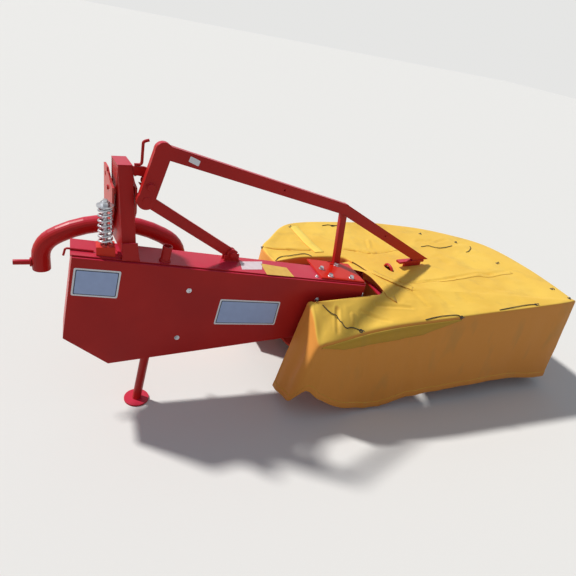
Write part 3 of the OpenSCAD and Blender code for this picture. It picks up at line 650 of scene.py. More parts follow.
# Corners of the opening's edge, along from the housing's right end, and across from its rear
# face for the first three or from its front face for the others
OPENING = [
    (house_high.x - 0.281, house_rear - 0.052),
    (house_high.x + 0.087, house_rear - 0.013),
    (house_high.x + 0.141, house_rear + 0.045),
    (house_high.x + 0.147, house_high.y + 0.030),
    (house_high.x + 0.119, house_high.y + 0.140),
    (house_high.x + 0.083, house_high.y + 0.220),
    (house_high.x + 0.019, house_high.y + 0.240),
    (house_high.x - 0.181, house_high.y + 0.236),
    (house_high.x - 0.336, house_high.y + 0.195),
]


def along_path(points, share):
    """The point at a share of a polyline's length, from 0 to 1."""
    points = [Vector(p) for p in points]
    steps = [(b - a).length for a, b in zip(points, points[1:])]
    left = share * sum(steps)
    for start, end, step in zip(points, points[1:], steps):
        if left <= step:
            return start.lerp(end, left / step)
        left -= step
    return points[-1]


def guard_point(along, across, height):
    """A point given by hundredths of the guard's length and half depth, and a height."""
    return Vector((GUARD_LEFT + GUARD_LENGTH * along / 100, GUARD_HALF_DEPTH * across / 100, height))


opening_row = [
    along_path(OPENING, row[0] / 100).to_3d() + Vector((0, 0, GUARD_TOP - OPENING_DROP)) for row in STATIONS
]
top_row = [guard_point(row[1], row[2], GUARD_TOP - row[3] * MM) for row in STATIONS]
hem_row = [guard_point(row[4], row[5], HEM_MEAN + row[6] * MM) for row in STATIONS]
print("canvas stations", len(STATIONS), "hem is", round(min(p.z for p in hem_row) * 1000), "mm off the floor")

# %% [markdown]
# The canvas: one continuous sheet
#
# The stations are too few to look like cloth, so each row is resampled along a smooth curve and
# the rows are joined by a fine grid. The bend over the frame gets a small radius, as cloth over
# a tube has. At the opening the edge is tucked under as a narrow hem, and along its front the
# sheet turns down into a flap that hangs by the housing.


# %% Canvas sections
SPANS = 348
TOP_ROWS = 36
SKIRT_ROWS = 30
BEND_ROWS = 4
FLAP_ROWS = 5
BEND_RADIUS = 0.014
SHEET_THICKNESS = 0.0016
HEM_TUCK = 0.009
HANGING_FLAP = 0.012
FLAP_STEP = 0.002
# Depth of the turned-down edge in millimetres, by hundredths of the opening's edge
FLAP_DEPTHS = ((0, 7), (59, 7), (62, 16), (65, 32), (69, 44), (80, 46), (92, 40), (100, 14))


def smooth_row(points, count):
    """Points resampled along a smooth curve through the given ones."""
    out = []
    last = len(points) - 1
    for i in range(count + 1):
        place = i / count * last
        k = min(int(place), last - 1)
        t = place - k
        p0, p1, p2, p3 = (points[min(max(j, 0), last)] for j in (k - 1, k, k + 1, k + 2))
        out.append(0.5 * (2 * p1 + (p2 - p0) * t + (2 * p0 - 5 * p1 + 4 * p2 - p3) * t * t
                          + (3 * p1 - p0 - 3 * p2 + p3) * t ** 3))
    return out


def between(pairs, value):
    """A value read from a table of (place, value) pairs, straight between them."""
    for (a, u), (b, v) in zip(pairs, pairs[1:]):
        if value <= b:
            return u + (v - u) * max(0.0, value - a) / (b - a)
    return pairs[-1][1]


def clamp(value, low=0.0, high=1.0):
    """The value, or the limit that it passes."""
    return max(low, min(high, value))


def outward(points, i):
    """The level direction that points out of the guard at a place on its top edge."""
    a, b = points[max(i - 1, 0)], points[min(i + 1, len(points) - 1)]
    run = (b - a).to_2d().normalized()
    return Vector((run.y, -run.x, 0))


def canvas_section(inner, edge, hem, flap):
    """The points of one section, from the flap over the opening's edge and the bend to the hem."""
    inward = (inner - edge).normalized()
    before = edge + inward * BEND_RADIUS
    after = edge + (hem - edge).normalized() * BEND_RADIUS
    points = []
    for i in range(FLAP_ROWS):
        left = 1 - i / FLAP_ROWS
        tuck = HEM_TUCK * left if flap < HANGING_FLAP else -FLAP_STEP
        points.append(inner - inward * tuck - Vector((0, 0, flap * left + FLAP_STEP)))
    points += [inner.lerp(before, i / TOP_ROWS) for i in range(TOP_ROWS + 1)]
    for i in range(1, BEND_ROWS):
        t = i / BEND_ROWS
        points.append((1 - t) ** 2 * before + 2 * t * (1 - t) * edge + t * t * after)
    points += [after.lerp(hem, i / SKIRT_ROWS) for i in range(SKIRT_ROWS + 1)]
    return points


edges, openings, hems = (smooth_row(row, SPANS) for row in (top_row, opening_row, hem_row))
opening_shares = smooth_row([Vector((row[0], 0, 0)) for row in STATIONS], SPANS)
flaps = [between(FLAP_DEPTHS, share.x) * MM for share in opening_shares]
sections = [canvas_section(*parts) for parts in zip(openings, edges, hems, flaps)]
outwards = [outward(edges, i) for i in range(SPANS + 1)]
TOP_START = FLAP_ROWS
TOP_END = TOP_START + TOP_ROWS
SKIRT_START = TOP_END + BEND_ROWS
print("canvas grid", SPANS + 1, "by", len(sections[0]), "points")

# %% [markdown]
# The canvas: sag, folds and creases
#
# Cloth that is tied down is never flat. Three small moves are added up at each point: a sag in
# the top that dies away at its edges, slow swings of the skirt, and creases along chosen lines,
# where the sheet was folded or pulls towards an eyelet. Where the lug of the truss comes up
# through its slit, the sheet rises a little. The noise is Blender's own, so the same sheet
# comes out on every run.

# %% Canvas relief
TOP_SAG = 0.006
SKIRT_SWING = 0.009
FOLD_WIDTH = 0.010
LUG_RISE = 0.006
# Creases in plan, in millimetres, from a point to a point, with their depth; a negative depth
# stands up
CREASES = (
    (-248, 172, -90, 156, 5.0), (-90, 156, 37, 140, 4.5),
    (239, 151, 315, 133, 5.0), (315, 133, 391, 101, 4.0), (391, 101, 552, 126, 4.0),
    (475, 273, 443, 191, -4.5), (443, 191, 433, 114, -4.0), (300, 300, 380, 160, 3.0),
    (350, 480, 420, 260, 3.0), (500, 460, 560, 200, 3.0), (620, 500, 690, 300, 3.0),
    (820, 251, 927, 246, 5.5), (927, 246, 965, 232, 5.5), (965, 232, 1056, 255, 5.0),
    (1046, 168, 1073, 197, 3.5), (1120, 240, 1150, 80, -4.0), (980, 120, 1120, 30, 3.5),
    (386, -229, 460, -240, 3.5), (460, -240, 574, -232, 4.0), (574, -232, 754, -214, 4.5),
    (754, -214, 951, -179, 4.5), (951, -179, 1022, -197, 5.0), (1022, -197, 1240, -159, 4.0),
    (916, -197, 960, -362, 3.5), (960, -362, 1005, -466, 3.0), (962, 33, 1009, -142, 3.5),
    (1009, -142, 1060, -300, 3.5), (837, 60, 833, -53, 3.0), (640, -280, 690, -430, 3.0),
    (520, -300, 560, -440, 3.5), (1100, -230, 1180, -420, 3.0), (323, -224, 406, -314, 5.0),
    (406, -314, 430, -430, 4.5), (273, -190, 391, -221, 3.0), (150, -395, 330, -430, 4.0),
    (60, -420, 170, -500, 4.5), (-60, -400, -90, -500, 5.0), (10, -430, -10, -520, -5.0),
)
crease_lines = [(Vector((a, b)) * MM, Vector((c, d)) * MM, deep * MM) for a, b, c, d, deep in CREASES]
lug_line = (point(on_truss, 1060, 0, 0).to_2d(), point(on_truss, 1180, 0, 0).to_2d())


def distance_to_line(place, start, end):
    """Distance in plan from a place to a stretch of line."""
    run = end - start
    return (place - start - run * clamp((place - start).dot(run) / run.length_squared)).length


def crease_depth(place):
    """How far the creases press the top down at a place in plan."""
    depth = 0.0
    for start, end, deep in crease_lines:
        near = distance_to_line(place, start, end) / FOLD_WIDTH
        if near < 3:
            depth += deep * (math.exp(-near * near) - 0.45 * math.exp(-(near - 1.6) ** 2 * 2))
    return depth


def ridged(place, scale, seed):
    """Noise with sharp ridges, from 0 to 1."""
    return 1 - abs(noise.noise(place * scale + Vector((seed, seed * 0.7, seed * 1.3))) * 2)


def top_relief(place, t):
    """How far a point of the top moves up or down; t runs from the opening to the frame."""
    hold = min(1.0, 6 * t) * min(1.0, 6 * (1 - t))
    sag = TOP_SAG * math.sin(math.pi * t) * (0.6 + 0.8 * noise.noise(place * 2.1))
    rumple = 0.0042 * (ridged(place, 5.5, 3) - 0.6) + 0.0016 * (ridged(place, 14, 8) - 0.6)
    lug = LUG_RISE * math.exp(-(distance_to_line(place.to_2d(), *lug_line) / 0.05) ** 2)
    return (rumple - sag - crease_depth(place.to_2d())) * hold + lug


def skirt_relief(share, t):
    """How far a point of the skirt swings out; t runs from the frame to the hem."""
    slow = noise.noise(Vector((share * 26, t * 0.9, 4.2)))
    slow += 0.5 * noise.noise(Vector((share * 61, t * 1.7, 9.1)))
    pinch = 0.003 * (ridged(Vector((share * 40, t * 2.2, 1.5)), 1.0, 5) - 0.6)
    return SKIRT_SWING * slow * t ** 0.8 + pinch * min(1.0, t * 5)


def relieved(place, i, row):
    """A point of the sheet after sag, folds and creases."""
    if row < TOP_START:
        wave = 0.004 * noise.noise(place * 9) * (TOP_START - row) / FLAP_ROWS
        return place + Vector((0, wave, 0))
    if row <= TOP_END:
        return place + Vector((0, 0, top_relief(place, (row - TOP_START) / TOP_ROWS)))
    return place + outwards[i] * skirt_relief(i / SPANS, max(0.0, (row - SKIRT_START) / SKIRT_ROWS))


grid = [[relieved(p, i, row) for row, p in enumerate(section)] for i, section in enumerate(sections)]
print("creases", len(CREASES))

# %% [markdown]
# The canvas: its mesh and its slits
#
# The grid becomes a mesh of quads. Two places need a real hole: the slit for the lug that
# carries the truss's end, and a small oval one for a hook on the gear beam. The faces there are
# divided finely, those inside an oval are taken out, and the corners left inside it are pushed
# out to its rim, which gives a clean edge without a boolean.


# %% Canvas mesh
TOP_DEPTH = 0.08
# Each slit: its centre, its direction, half its length and half its width
HOOK_SLIT = (Vector((0.409, -0.078)), Vector((0.10, -1.0)).normalized(), 0.043, 0.014)
LUG_SLIT = (
    (lug_line[0] + lug_line[1]) / 2,
    (lug_line[1] - lug_line[0]).normalized(),
    (lug_line[1] - lug_line[0]).length / 2 + 0.006,
    0.0105,
)


def cut_oval(bm, centre, along, half_length, half_width):
    """An oval hole in the top of the sheet, seen from above."""
    bm.normal_update()
    bm.edges.index_update()
    side = Vector((-along.y, along.x))

    def inside(place):
        way = place.to_2d() - centre
        return math.hypot(way.dot(along) / half_length, way.dot(side) / half_width)

    reach = half_length + 0.03
    near = [f for f in bm.faces
            if f.normal.z > 0.5 and (f.calc_center_median().to_2d() - centre).length < reach]
    fine = sorted({e for f in near for e in f.edges}, key=lambda e: e.index)
    bmesh.ops.subdivide_edges(bm, edges=fine, cuts=5, use_grid_fill=True)
    gone = [f for f in bm.faces if all(inside(v.co) < 1 for v in f.verts)
            and f.calc_center_median().z > GUARD_TOP - TOP_DEPTH]
    bmesh.ops.delete(bm, geom=gone, context="FACES")
    for vert in bm.verts:
        ratio = inside(vert.co)
        if 0 < ratio < 1 and vert.co.z > GUARD_TOP - TOP_DEPTH:
            vert.co.x, vert.co.y = centre + (vert.co.to_2d() - centre) / ratio


bm = bmesh.new()
corners = [[bm.verts.new(p) for p in row] for row in grid]
for i in range(SPANS):
    for j in range(len(grid[0]) - 1):
        face = bm.faces.new((corners[i][j], corners[i][j + 1], corners[i + 1][j + 1], corners[i + 1][j]))
        # The tucked edge takes the second material, dark brown painted shade
        face.material_index = int(flaps[i] < HANGING_FLAP and j < TOP_START)
bm.normal_update()
if sum(f.normal.z for f in bm.faces) < 0:
    bmesh.ops.reverse_faces(bm, faces=bm.faces)
for slit in (LUG_SLIT, HOOK_SLIT):
    cut_oval(bm, *slit)
canvas_mesh = bpy.data.meshes.new("canvas")
bm.to_mesh(canvas_mesh)
sheet_tree = BVHTree.FromBMesh(bm)
bm.free()
canvas_mesh.shade_smooth()

# %% [markdown]
# Coated cloth
#
# The cloth is a woven polyester with a coat of yellow vinyl: mostly matt, with a soft sheen, a
# fine thread pattern, paler where it is rubbed and browner where dust has settled in the folds.
# What faces up keeps the plain yellow, while what faces sideways or down, such as the hanging skirt, is
# painted a deeper, more orange yellow as painted shade, a little darker towards the hem. The tucked edge of
# the opening is painted dark brown as painted shade.

# %% Canvas material
CANVAS_TOP = (0.92, 0.60, 0.098)
CANVAS_DEEP = (0.83, 0.50, 0.072)
# Painted shade: the deeper orange of what faces sideways or down, a little darker low down
SKIRT_SHADE = (0.88, 0.36, 0.068)
SKIRT_SHADE_LOW = (0.82, 0.32, 0.060)
SKIRT_HEIGHTS = (0.40, 0.08)
# Painted shade: the olive of the valance's shaded face
OLIVE_SHADE = (0.66, 0.37, 0.045)
CANVAS_DIRT = (0.42, 0.29, 0.10)
THREADS_PER_METRE = 260.0


def coated_cloth(name, top_colour=CANVAS_TOP, deep_tone=CANVAS_DEEP, hanging=SKIRT_SHADE, low=SKIRT_SHADE_LOW):
    """Yellow vinyl-coated cloth with threads, soft creases and dirt, and painted shade where it faces
    sideways or down.
    """
    material, tree, shader = new_material(name)
    top_tone = ramp(tree, object_noise(tree, 3.0, 6), 0.3, deep_tone, 0.6, top_colour)
    lowness = mask(tree, upright_part(tree, object_place(tree)), *SKIRT_HEIGHTS)
    # What faces sideways or down takes the deeper tone as painted shade
    painted_shade_tone = mix_colours(tree, lowness, hanging, low)
    tone = mix_colours(tree, facing_up(tree, 0.35, 0.8), painted_shade_tone, top_tone)
    dirt = mask(tree, object_noise(tree, 9, 9, (1, 1, 0.4)), 0.55, 0.9, 0.5)
    tone = mix_colours(tree, dirt, tone, CANVAS_DIRT)
    tree.links.new(tone, shader.inputs["Base Color"])
    shader.inputs["Roughness"].default_value = 0.55
    shader.inputs["Specular IOR Level"].default_value = 0.16
    shader.inputs["Sheen Weight"].default_value = 0.04
    for axis in ("X", "Y", "Z"):
        threads = add_node(
            tree, "ShaderNodeTexWave", Vector=object_place(tree), Scale=THREADS_PER_METRE, Distortion=0.6,
        )
        threads.bands_direction = axis
        add_bump(tree, shader, threads.outputs["Fac"], 0.08, 0.0004)
    add_bump(tree, shader, object_noise(tree, 16, 7), 0.30, 0.0022)
    add_bump(tree, shader, object_noise(tree, 46, 5), 0.20, 0.0009)
    return material


canvas_cloth = coated_cloth("coated_cloth")
# A paler yellow as a painted highlight for the folded strip
highlight_cloth = coated_cloth("coated_cloth_painted_highlight", (0.98, 0.76, 0.15), (0.94, 0.66, 0.11))
# The valance's olive sides are painted shade
olive_shade_cloth = coated_cloth("coated_cloth_olive_shade", hanging=OLIVE_SHADE, low=OLIVE_SHADE)
# Dark brown as painted shade on the tucked edge of the opening
hem_painted_shade = plain("hem_painted_shade", (0.15, 0.075, 0.020), (0.10, 0.05, 0.014), 0.7, 60)
canvas = add_piece("canvas", canvas_mesh, canvas_cloth, "frame")
canvas_mesh.materials.append(hem_painted_shade)
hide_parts("canvas_top", "canvas_skirt")


def thicken(piece, thickness):
    """Cloth of a thickness, half of it on either side of the piece's mesh."""
    layer = piece.modifiers.new("thickness", "SOLIDIFY")
    layer.thickness = thickness
    layer.offset = 0


thicken(canvas, SHEET_THICKNESS)
print("cloth materials", canvas_cloth.name, highlight_cloth.name, olive_shade_cloth.name)

# %% [markdown]
# Where trims go on the sheet
#
# Hems, laps, eyelets and ties follow the sheet, so their places are found on it. A line from the
# camera through a place in its picture meets the sheet where the photograph shows the trim, and
# the nearest point of the sheet then carries whatever lies beside it. Seen from any side, each
# trim rests on the cloth.

# %% Finding the sheet
PICTURE_SIZE = 576
TOP_REACH = 0.16
FOCAL_PIXELS = CAMERA_LENS_MM / SENSOR_MM * PICTURE_SIZE
UNDER_CANVAS = Vector(((canvas_low.x + canvas_high.x) / 2, 0, 0.1))


def seen_at(x, y):
    """The point of the sheet's top that the camera sees at a place of its picture, or None."""
    middle = PICTURE_SIZE / 2
    way = camera_turn @ Vector(((x - middle) / FOCAL_PIXELS, (middle - y) / FOCAL_PIXELS, -1))
    found = sheet_tree.ray_cast(Vector(CAMERA_AT), way.normalized())[0]
    return found if found and found.z > GUARD_TOP - TOP_REACH else None


def on_cloth(place, lift=0.0):
    """The nearest point of the sheet and its outward normal, raised by a lift."""
    found, normal, _, _ = sheet_tree.find_nearest(place)
    if normal.dot(found - UNDER_CANVAS) < 0:
        normal = -normal
    return found + normal * lift, normal


def line_seen(places, step=0.008):
    """A smooth line on the sheet's top through places of the picture."""
    found = [p for p in (seen_at(*place) for place in places) if p]
    smooth = smooth_row(found, 12 * (len(found) - 1)) if len(found) > 2 else found
    return [on_cloth(p)[0] for p in resampled(smooth, step)]


print("the opening's left tip is at", tuple(round(v, 3) for v in seen_at(274.4, 262.3)))

# %% [markdown]
# Hems, laps and folded strips
#
# A sewn edge is a second layer of the same cloth. Each strip is a narrow grid that follows the
# sheet: its middle lies a little above, its two long edges touch. A lap has one raised edge
# only, which throws a thin shadow, and sinks to nothing on the other side.


# %% Cloth strips
def strip_mesh(name, rows):
    """A mesh of quads from equally long rows of points."""
    width = len(rows[0])
    mesh = bpy.data.meshes.new(name)
    faces = [
        (i * width + j, i * width + j + 1, (i + 1) * width + j + 1, (i + 1) * width + j)
        for i in range(len(rows) - 1)
        for j in range(width - 1)
    ]
    mesh.from_pydata([tuple(p) for row in rows for p in row], [], faces)
    mesh.update()
    mesh.shade_smooth()
    return mesh


def add_strip(name, rows, material=canvas_cloth, thickness=0.0012):
    """A strip of cloth as a piece that rides with the frame."""
    piece = add_piece(name, strip_mesh(name, rows), material, "frame")
    thicken(piece, thickness)
    print(name, len(rows), "stations long")
    return piece


def strip_rows(line, profile, fade=0):
    """Rows across a line on the sheet, from a profile of (sideways, lift) in millimetres.

    With a fade the lift dies away over that many rows at both ends.
    """
    rows = []
    for i, here in enumerate(line):
        share = min(1.0, (min(i, len(line) - 1 - i) + 0.3) / fade) if fade else 1.0
        ahead = (line[min(i + 1, len(line) - 1)] - line[max(i - 1, 0)]).normalized()
        side = on_cloth(here)[1].cross(ahead).normalized()
        row = []
        for across, lift in profile:
            rise = (0.5 + (lift - 0.5) * share) * MM
            row.append(on_cloth(here + side * across * MM, rise)[0])
        rows.append(row)
    return rows


def band(width, lift):
    """The profile of a strip that is sewn down along both edges."""
    half = width / 2
    raised = ((place, lift) for place in (-half + 2, -half / 3, half / 3, half - 2))
    return ((-half, 0.7), *raised, (half, 0.7))


def lap(width, lift):
    """The profile of a layer with one raised edge."""
    return ((0, lift), (width * 0.12, lift * 0.95), (width * 0.4, lift * 0.6), (width * 0.7, lift * 0.35),
            (width, 0.5))


# Each strip: its name, its line in the picture, its profile, its fade and its cloth
STRIPS = (
    ("canvas_long_seam", ((400, 282.3), (412.8, 283), (429.4, 281.7), (453.6, 279.2), (476.6, 275.3),
                          (488, 276.6), (511, 272.7)), band(24, 2.0), 0, canvas_cloth),
    ("canvas_front_lap", ((364.5, 270), (369, 272.2), (377.8, 276.9), (389.3, 282.1), (400, 286.5),
                          (412.2, 290.7)), lap(42, 6.0), 9, canvas_cloth),
    # Its paler cloth is a painted highlight
    ("canvas_folded_strip", ((293.5, 226.5), (299, 233), (306, 240.5), (313, 247), (319.5, 252.5)),
     band(58, 3.0), 0, highlight_cloth),
    ("canvas_cross_seam", ((343, 249), (356, 250.5), (370, 253), (391, 251), (405, 249.5)),
     band(16, 1.8), 0, canvas_cloth),
    ("canvas_left_seam", ((262.5, 247.4), (275, 248.3), (290, 249), (310, 250)),
     band(16, 1.8), 0, canvas_cloth),
)
trims = [
    add_strip(name, strip_rows(line_seen(places), profile, fade), cloth)
    for name, places, profile, fade, cloth in STRIPS
]

# %% [markdown]
# Layers on the skirt
#
# The hem is turned up and sewn all round, and at the near corner a valance hangs over the top
# edge. Both are second layers on the skirt, so they are made from its own columns of points,
# between two distances below the frame.

# %% Hem and valance
HEM_WIDTH = 0.034
# Places are counted in stations, depths are in millimetres
VALANCE = ((2.6, 6), (3.4, 20), (4.6, 48), (6, 64), (8, 68), (9.4, 62), (10.1, 38), (10.8, 9))
VALANCE_LIFT = 4.5


def skirt_band(name, first, last, top_of, bottom_of, lift=2.0, material=canvas_cloth):
    """A layer on the skirt between two distances below the frame, from span to span."""
    rows = []
    for i in range(first, last + 1):
        column = grid[i][SKIRT_START:]
        length = (column[-1] - column[0]).length
        top = top_of(length)
        width = bottom_of(i, length) - top
        profile = ((0.0, 0.6), (0.002, lift), (width / 2, lift), (width - 0.002, lift), (width, 0.9))
        row = []
        for down, rise in profile:
            place = min(1.0, (top + down) / length) * SKIRT_ROWS
            k = min(int(place), SKIRT_ROWS - 1)
            row.append(column[k].lerp(column[k + 1], place - k) + outwards[i] * rise * MM)
        rows.append(row)
    return add_strip(name, rows, material)


first_span, last_span = (round(VALANCE[k][0] / LAST_STATION * SPANS) for k in (0, -1))
trims += [
    skirt_band("canvas_hem", 0, SPANS, lambda length: length - HEM_WIDTH, lambda i, length: length),
    # The valance's olive cloth is painted shade
    skirt_band("canvas_valance", first_span, last_span, lambda length: 0.0,
               lambda i, length: between(VALANCE, i / SPANS * LAST_STATION) * MM, VALANCE_LIFT, olive_shade_cloth),
]

# %% [markdown]
# The lap under the front sheet
#
# Right of the housing's end the rear part of the cover reaches further in than the front part. There it lies
# a finger's width lower, so the front part's edge throws a shadow on it, and towards the rear it runs out on
# the sheet. It is made between two lines, and its inner edge is turned back under it and hangs down as a deep
# flap: a sheet put in the gap only so that the gap shows shade instead of the floor.

# %% Under lap
LAP_DEPTH = 0.010
LAP_RISE = 0.0022
# How deep the flap hangs that fills the gap with shade
LAP_SHADE_FLAP = 0.15
LAP_TUCK = 0.055
LAP_STEP = 0.008
LAP_COLUMNS = 12
LAP_SPANS = 48
# Where the lap starts to rise to the sheet and where its flap ends, across, and over what length
LAP_FREE = -0.065
LAP_RUN = 0.05
FLAP_END = -0.07
FLAP_RUN = 0.03
EDGE_HEIGHT = GUARD_TOP - OPENING_DROP
# Inner and outer edges in plan, in millimetres
UNDER_INNER = ((232, -352), (236, -306), (240, -270), (241, -236), (240, -170), (222, -106), (196, -70),
               (160, -40), (128, -6))
UNDER_OUTER = ((262, -392), (300, -350), (326, -300), (334, -260), (332, -200), (312, -136), (284, -80),
               (262, -20), (232, 30))


def sheet_height(place):
    """The height of the sheet at a place in plan, or of the opening's edge where there is none."""
    hit = sheet_tree.ray_cast(Vector((place.x, place.y, 1)), Vector((0, 0, -1)))[0]
    return hit.z if hit and hit.z > GUARD_TOP - TOP_REACH else EDGE_HEIGHT


def lap_row(inner, outer):
    """One row of the lap, from its hanging edge to where it has sunk into the sheet."""
    row = []
    for k in range(LAP_COLUMNS + 1):
        t = k / LAP_COLUMNS
        place = inner.lerp(outer, t)
        under = EDGE_HEIGHT - LAP_DEPTH + 0.003 * noise.noise(place * 14) * (1 - t)
        over = sheet_height(place) + LAP_RISE * (1 - max(0.0, t - 0.5) * 6)
        place.z = under + (over - under) * clamp((LAP_FREE - place.y) / LAP_RUN)
        row.append(place)
    under_edge = inner + (outer - inner).normalized() * LAP_TUCK
    under_edge.z = row[0].z - LAP_STEP
    deep = LAP_SHADE_FLAP * clamp((FLAP_END - inner.y) / FLAP_RUN, 0.02)
    return [under_edge - Vector((0, 0, deep)), under_edge] + row


under_edges = (
    smooth_row([Vector((*p, 0)) * MM for p in edge], LAP_SPANS) for edge in (UNDER_INNER, UNDER_OUTER)
)
lap_rows = [lap_row(inner, outer) for inner, outer in zip(*under_edges)]
trims.append(add_strip("canvas_under_lap", lap_rows, canvas_cloth, SHEET_THICKNESS))

# %% [markdown]
# Stitches
#
# A row of thread runs near the upper edge of the hem, along the valance and along both sides of
# the long seam and of the folded strip. Each stitch is the upper half of a spindle, four small
# triangles that rise towards its middle, so that it looks sunk at its two ends.

# %% Stitches
STITCH_LENGTH = 0.0050
STITCH_STEP = 0.0072
STITCH_THICK = 0.0009
STITCH_RISE = 0.0003
# The strips that are sewn, with the line of their points that the thread follows
SEWN = (("canvas_hem", 1), ("canvas_long_seam", 1), ("canvas_long_seam", 4), ("canvas_valance", 3),
        ("canvas_folded_strip", 1), ("canvas_folded_strip", 4))


def add_stitch(bm, start, end, up):
    """One stitch between two points."""
    side = (end - start).normalized().cross(up).normalized() * STITCH_THICK
    middle = (start + end) / 2
    ring = [bm.verts.new(middle + way) for way in (side, up * STITCH_THICK, -side)]
    tips = bm.verts.new(start), bm.verts.new(end)
    for a, b in zip(ring, ring[1:]):
        bm.faces.new((tips[0], a, b))
        bm.faces.new((tips[1], b, a))


def row_of(piece_name, k):
    """One long line of a strip's points."""
    mesh = bpy.data.objects[piece_name].data
    width = mesh.polygons[0].vertices[3]
    return [mesh.vertices[i].co.copy() for i in range(k, len(mesh.vertices), width)]


bm = bmesh.new()
for piece_name, k in SEWN:
    line = resampled(row_of(piece_name, k), STITCH_STEP)
    for a, b in zip(line, line[1:]):
        up = on_cloth(a)[1]
        add_stitch(bm, a + up * STITCH_RISE, a.lerp(b, STITCH_LENGTH / STITCH_STEP) + up * STITCH_RISE, up)
trims.append(finish_piece("canvas_stitches", bm, "canvas", material=thread))

# %% [markdown]
# Eyelets and hooks
#
# Along its top edge the cover is laced down with short elastic ties. Each ends in a dark eyelet
# that is pressed through the cloth, with a small wire hook in it. The eyelet is a turned ring
# and the hook a swept wire; both stand on the cloth where the photograph shows them.

# %% Eyelets and hooks
EYELETS = (
    (262.5, 247.4), (275.2, 262.2), (290.0, 227.2), (332, 226.2), (375, 227.6), (420, 234.0), (455.5, 242.4),
    (461.5, 317.4), (536.0, 304.8), (361.0, 331.0), (497, 263.5), (569, 298.5), (551.5, 289.2),
)
EYELET_PROFILE = [(5.0, -0.8), (9.0, -0.4), (9.6, 0.9), (8.8, 2.0), (6.4, 2.4), (5.0, 1.4), (5.0, -0.8)]
HOOK_BEND = ((0, 0, -4), (0, 0, 5), (3, 0, 9), (9, 0, 9), (13, 0, 5), (15, 0, 3))
HOOK_RADIUS = 0.0019

ring_mesh = bmesh.new()
hook_mesh = bmesh.new()
for place in (seen_at(x, y) for x, y in EYELETS):
    if place:
        here, normal = on_cloth(place)
        stand = Matrix.Translation(here) @ normal.to_track_quat("Z", "Y").to_matrix().to_4x4()
        turn(ring_mesh, stand, EYELET_PROFILE, 24)
        sweep(hook_mesh, smooth_row([point(stand, *p) for p in HOOK_BEND], 20), lambda run: HOOK_RADIUS)
trims.append(finish_piece("canvas_eyelets", ring_mesh, "black_plastic"))
trims.append(finish_piece("canvas_hooks", hook_mesh, "black_plastic"))

# %% [markdown]
# Elastic ties
#
# The ties lie on the cloth in slack curves, some half lifted by their own stiffness. Each is a
# braided cord, so it is swept along its curve with a radius that ripples like a braid.

# %% Elastic ties
TIES = (
    ((275.5, 260.6), (280, 257.6), (290, 256.4), (304, 254.4), (311.5, 256.6)),
    ((322.3, 304.9), (326, 309), (330.4, 313), (337.2, 317.6), (345.3, 327.9), (352, 328), (361.0, 331.0)),
    ((425.5, 319.9), (440, 317), (454.8, 315.6), (461.5, 317.4)),
    ((499.5, 310.3), (512, 308), (527, 305.4), (536.0, 304.8)),
    ((322, 226.0), (327, 225.4), (333, 225.9), (340, 225.2)),
    ((466, 252.5), (469, 251.2), (470.5, 248.5), (469.8, 246.8)),
    ((421, 247), (428, 246.3), (436, 248.3), (444, 248.0), (452, 246.2)),
)
TIE_RADIUS = 0.0021
TIE_GAP = 0.0006
TIE_SLACK = 0.004
BRAID = 2600

bm = bmesh.new()
for tie in TIES:
    line = [p for p in line_seen(tie, 0.006) if p.z > GUARD_TOP - TOP_REACH]
    lifted = []
    for k, p in enumerate(line):
        ease = math.sin(math.pi * k / (len(line) - 1))
        rise = TIE_RADIUS + TIE_GAP + TIE_SLACK * ease * (0.5 + 0.5 * noise.noise(p * 30))
        lifted.append(on_cloth(p, rise)[0])
    sweep(bm, lifted, lambda run: TIE_RADIUS * (1 + 0.06 * math.sin(run * BRAID)), 8)
trims.append(finish_piece("canvas_ties", bm, "black_plastic", material=rubber_cord))

# %% [markdown]
# Trims on the canvas
#
# The pieces that are sewn or laced to the canvas are counted.

print("trims on the canvas", len(trims))

# %% [markdown]
# Bolts and screws on the frame
#
# The belt housing's cover is held by three screws with washers, the joint plate by four bolts,
# and the truss by pins with washers. Out of sight, the gearboxes have a ring of bolts each, and
# flanges and arms are bolted down, as on every such machine. All the plated ones go into one
# mesh; pins that were sprayed with the frame go into another.

# %% Frame bolts
# Places along and up the housing's face, and along and across its joint plate
FACE_SCREWS = ((246, 165), (242, -72), (849, 169))
PLATE_BOLTS = ((881, 34), (900, -31), (1017, -30), (991, 90))
HOUSING_FACE = -70
PLATE_TOP = 278
ROOF = 270
GEAR_TOP = 486
LUG_FOOT = 8.3
DRUMS_AT = (132.5, 807.5)
GEARBOX_TOP = 492
GEARBOX_BOLTS_RADIUS = 74
SMALL_HEX = 13
SMALL_WASHER = 9
GEARBOX_LID = [(0, 0), (34, 0), (34, 5), (30, 8), (12, 8), (11, 11), (0, 11)]
INPUT_FLANGE = (-47.5, -165.7, 436)
INPUT_BOLTS_RADIUS = 59
# Where the guard's arms are clamped: along the gear beam, and the height of what carries them;
# then how far each clamp's studs stand from its middle, along and across
ARM_CLAMPS = ((282.5, GEAR_TOP), (807.5, GEARBOX_TOP))
CLAMP_STUDS = (13, 54.6)
STUD_RADIUS = 4
STUD_LENGTH = 30
# Bolts of the lug's foot, along the truss and across the gear beam
LUG_BOLTS = ((1040, -30), (1040, 30), (1200, -30), (1200, 30))
# The pin at the brace's lower end, and where its two ends lie from the truss's own plane
BRACE_PIN = (3, 708)
BRACE_PIN_REAR = -7.8
BRACE_PIN_FRONT = 20.8

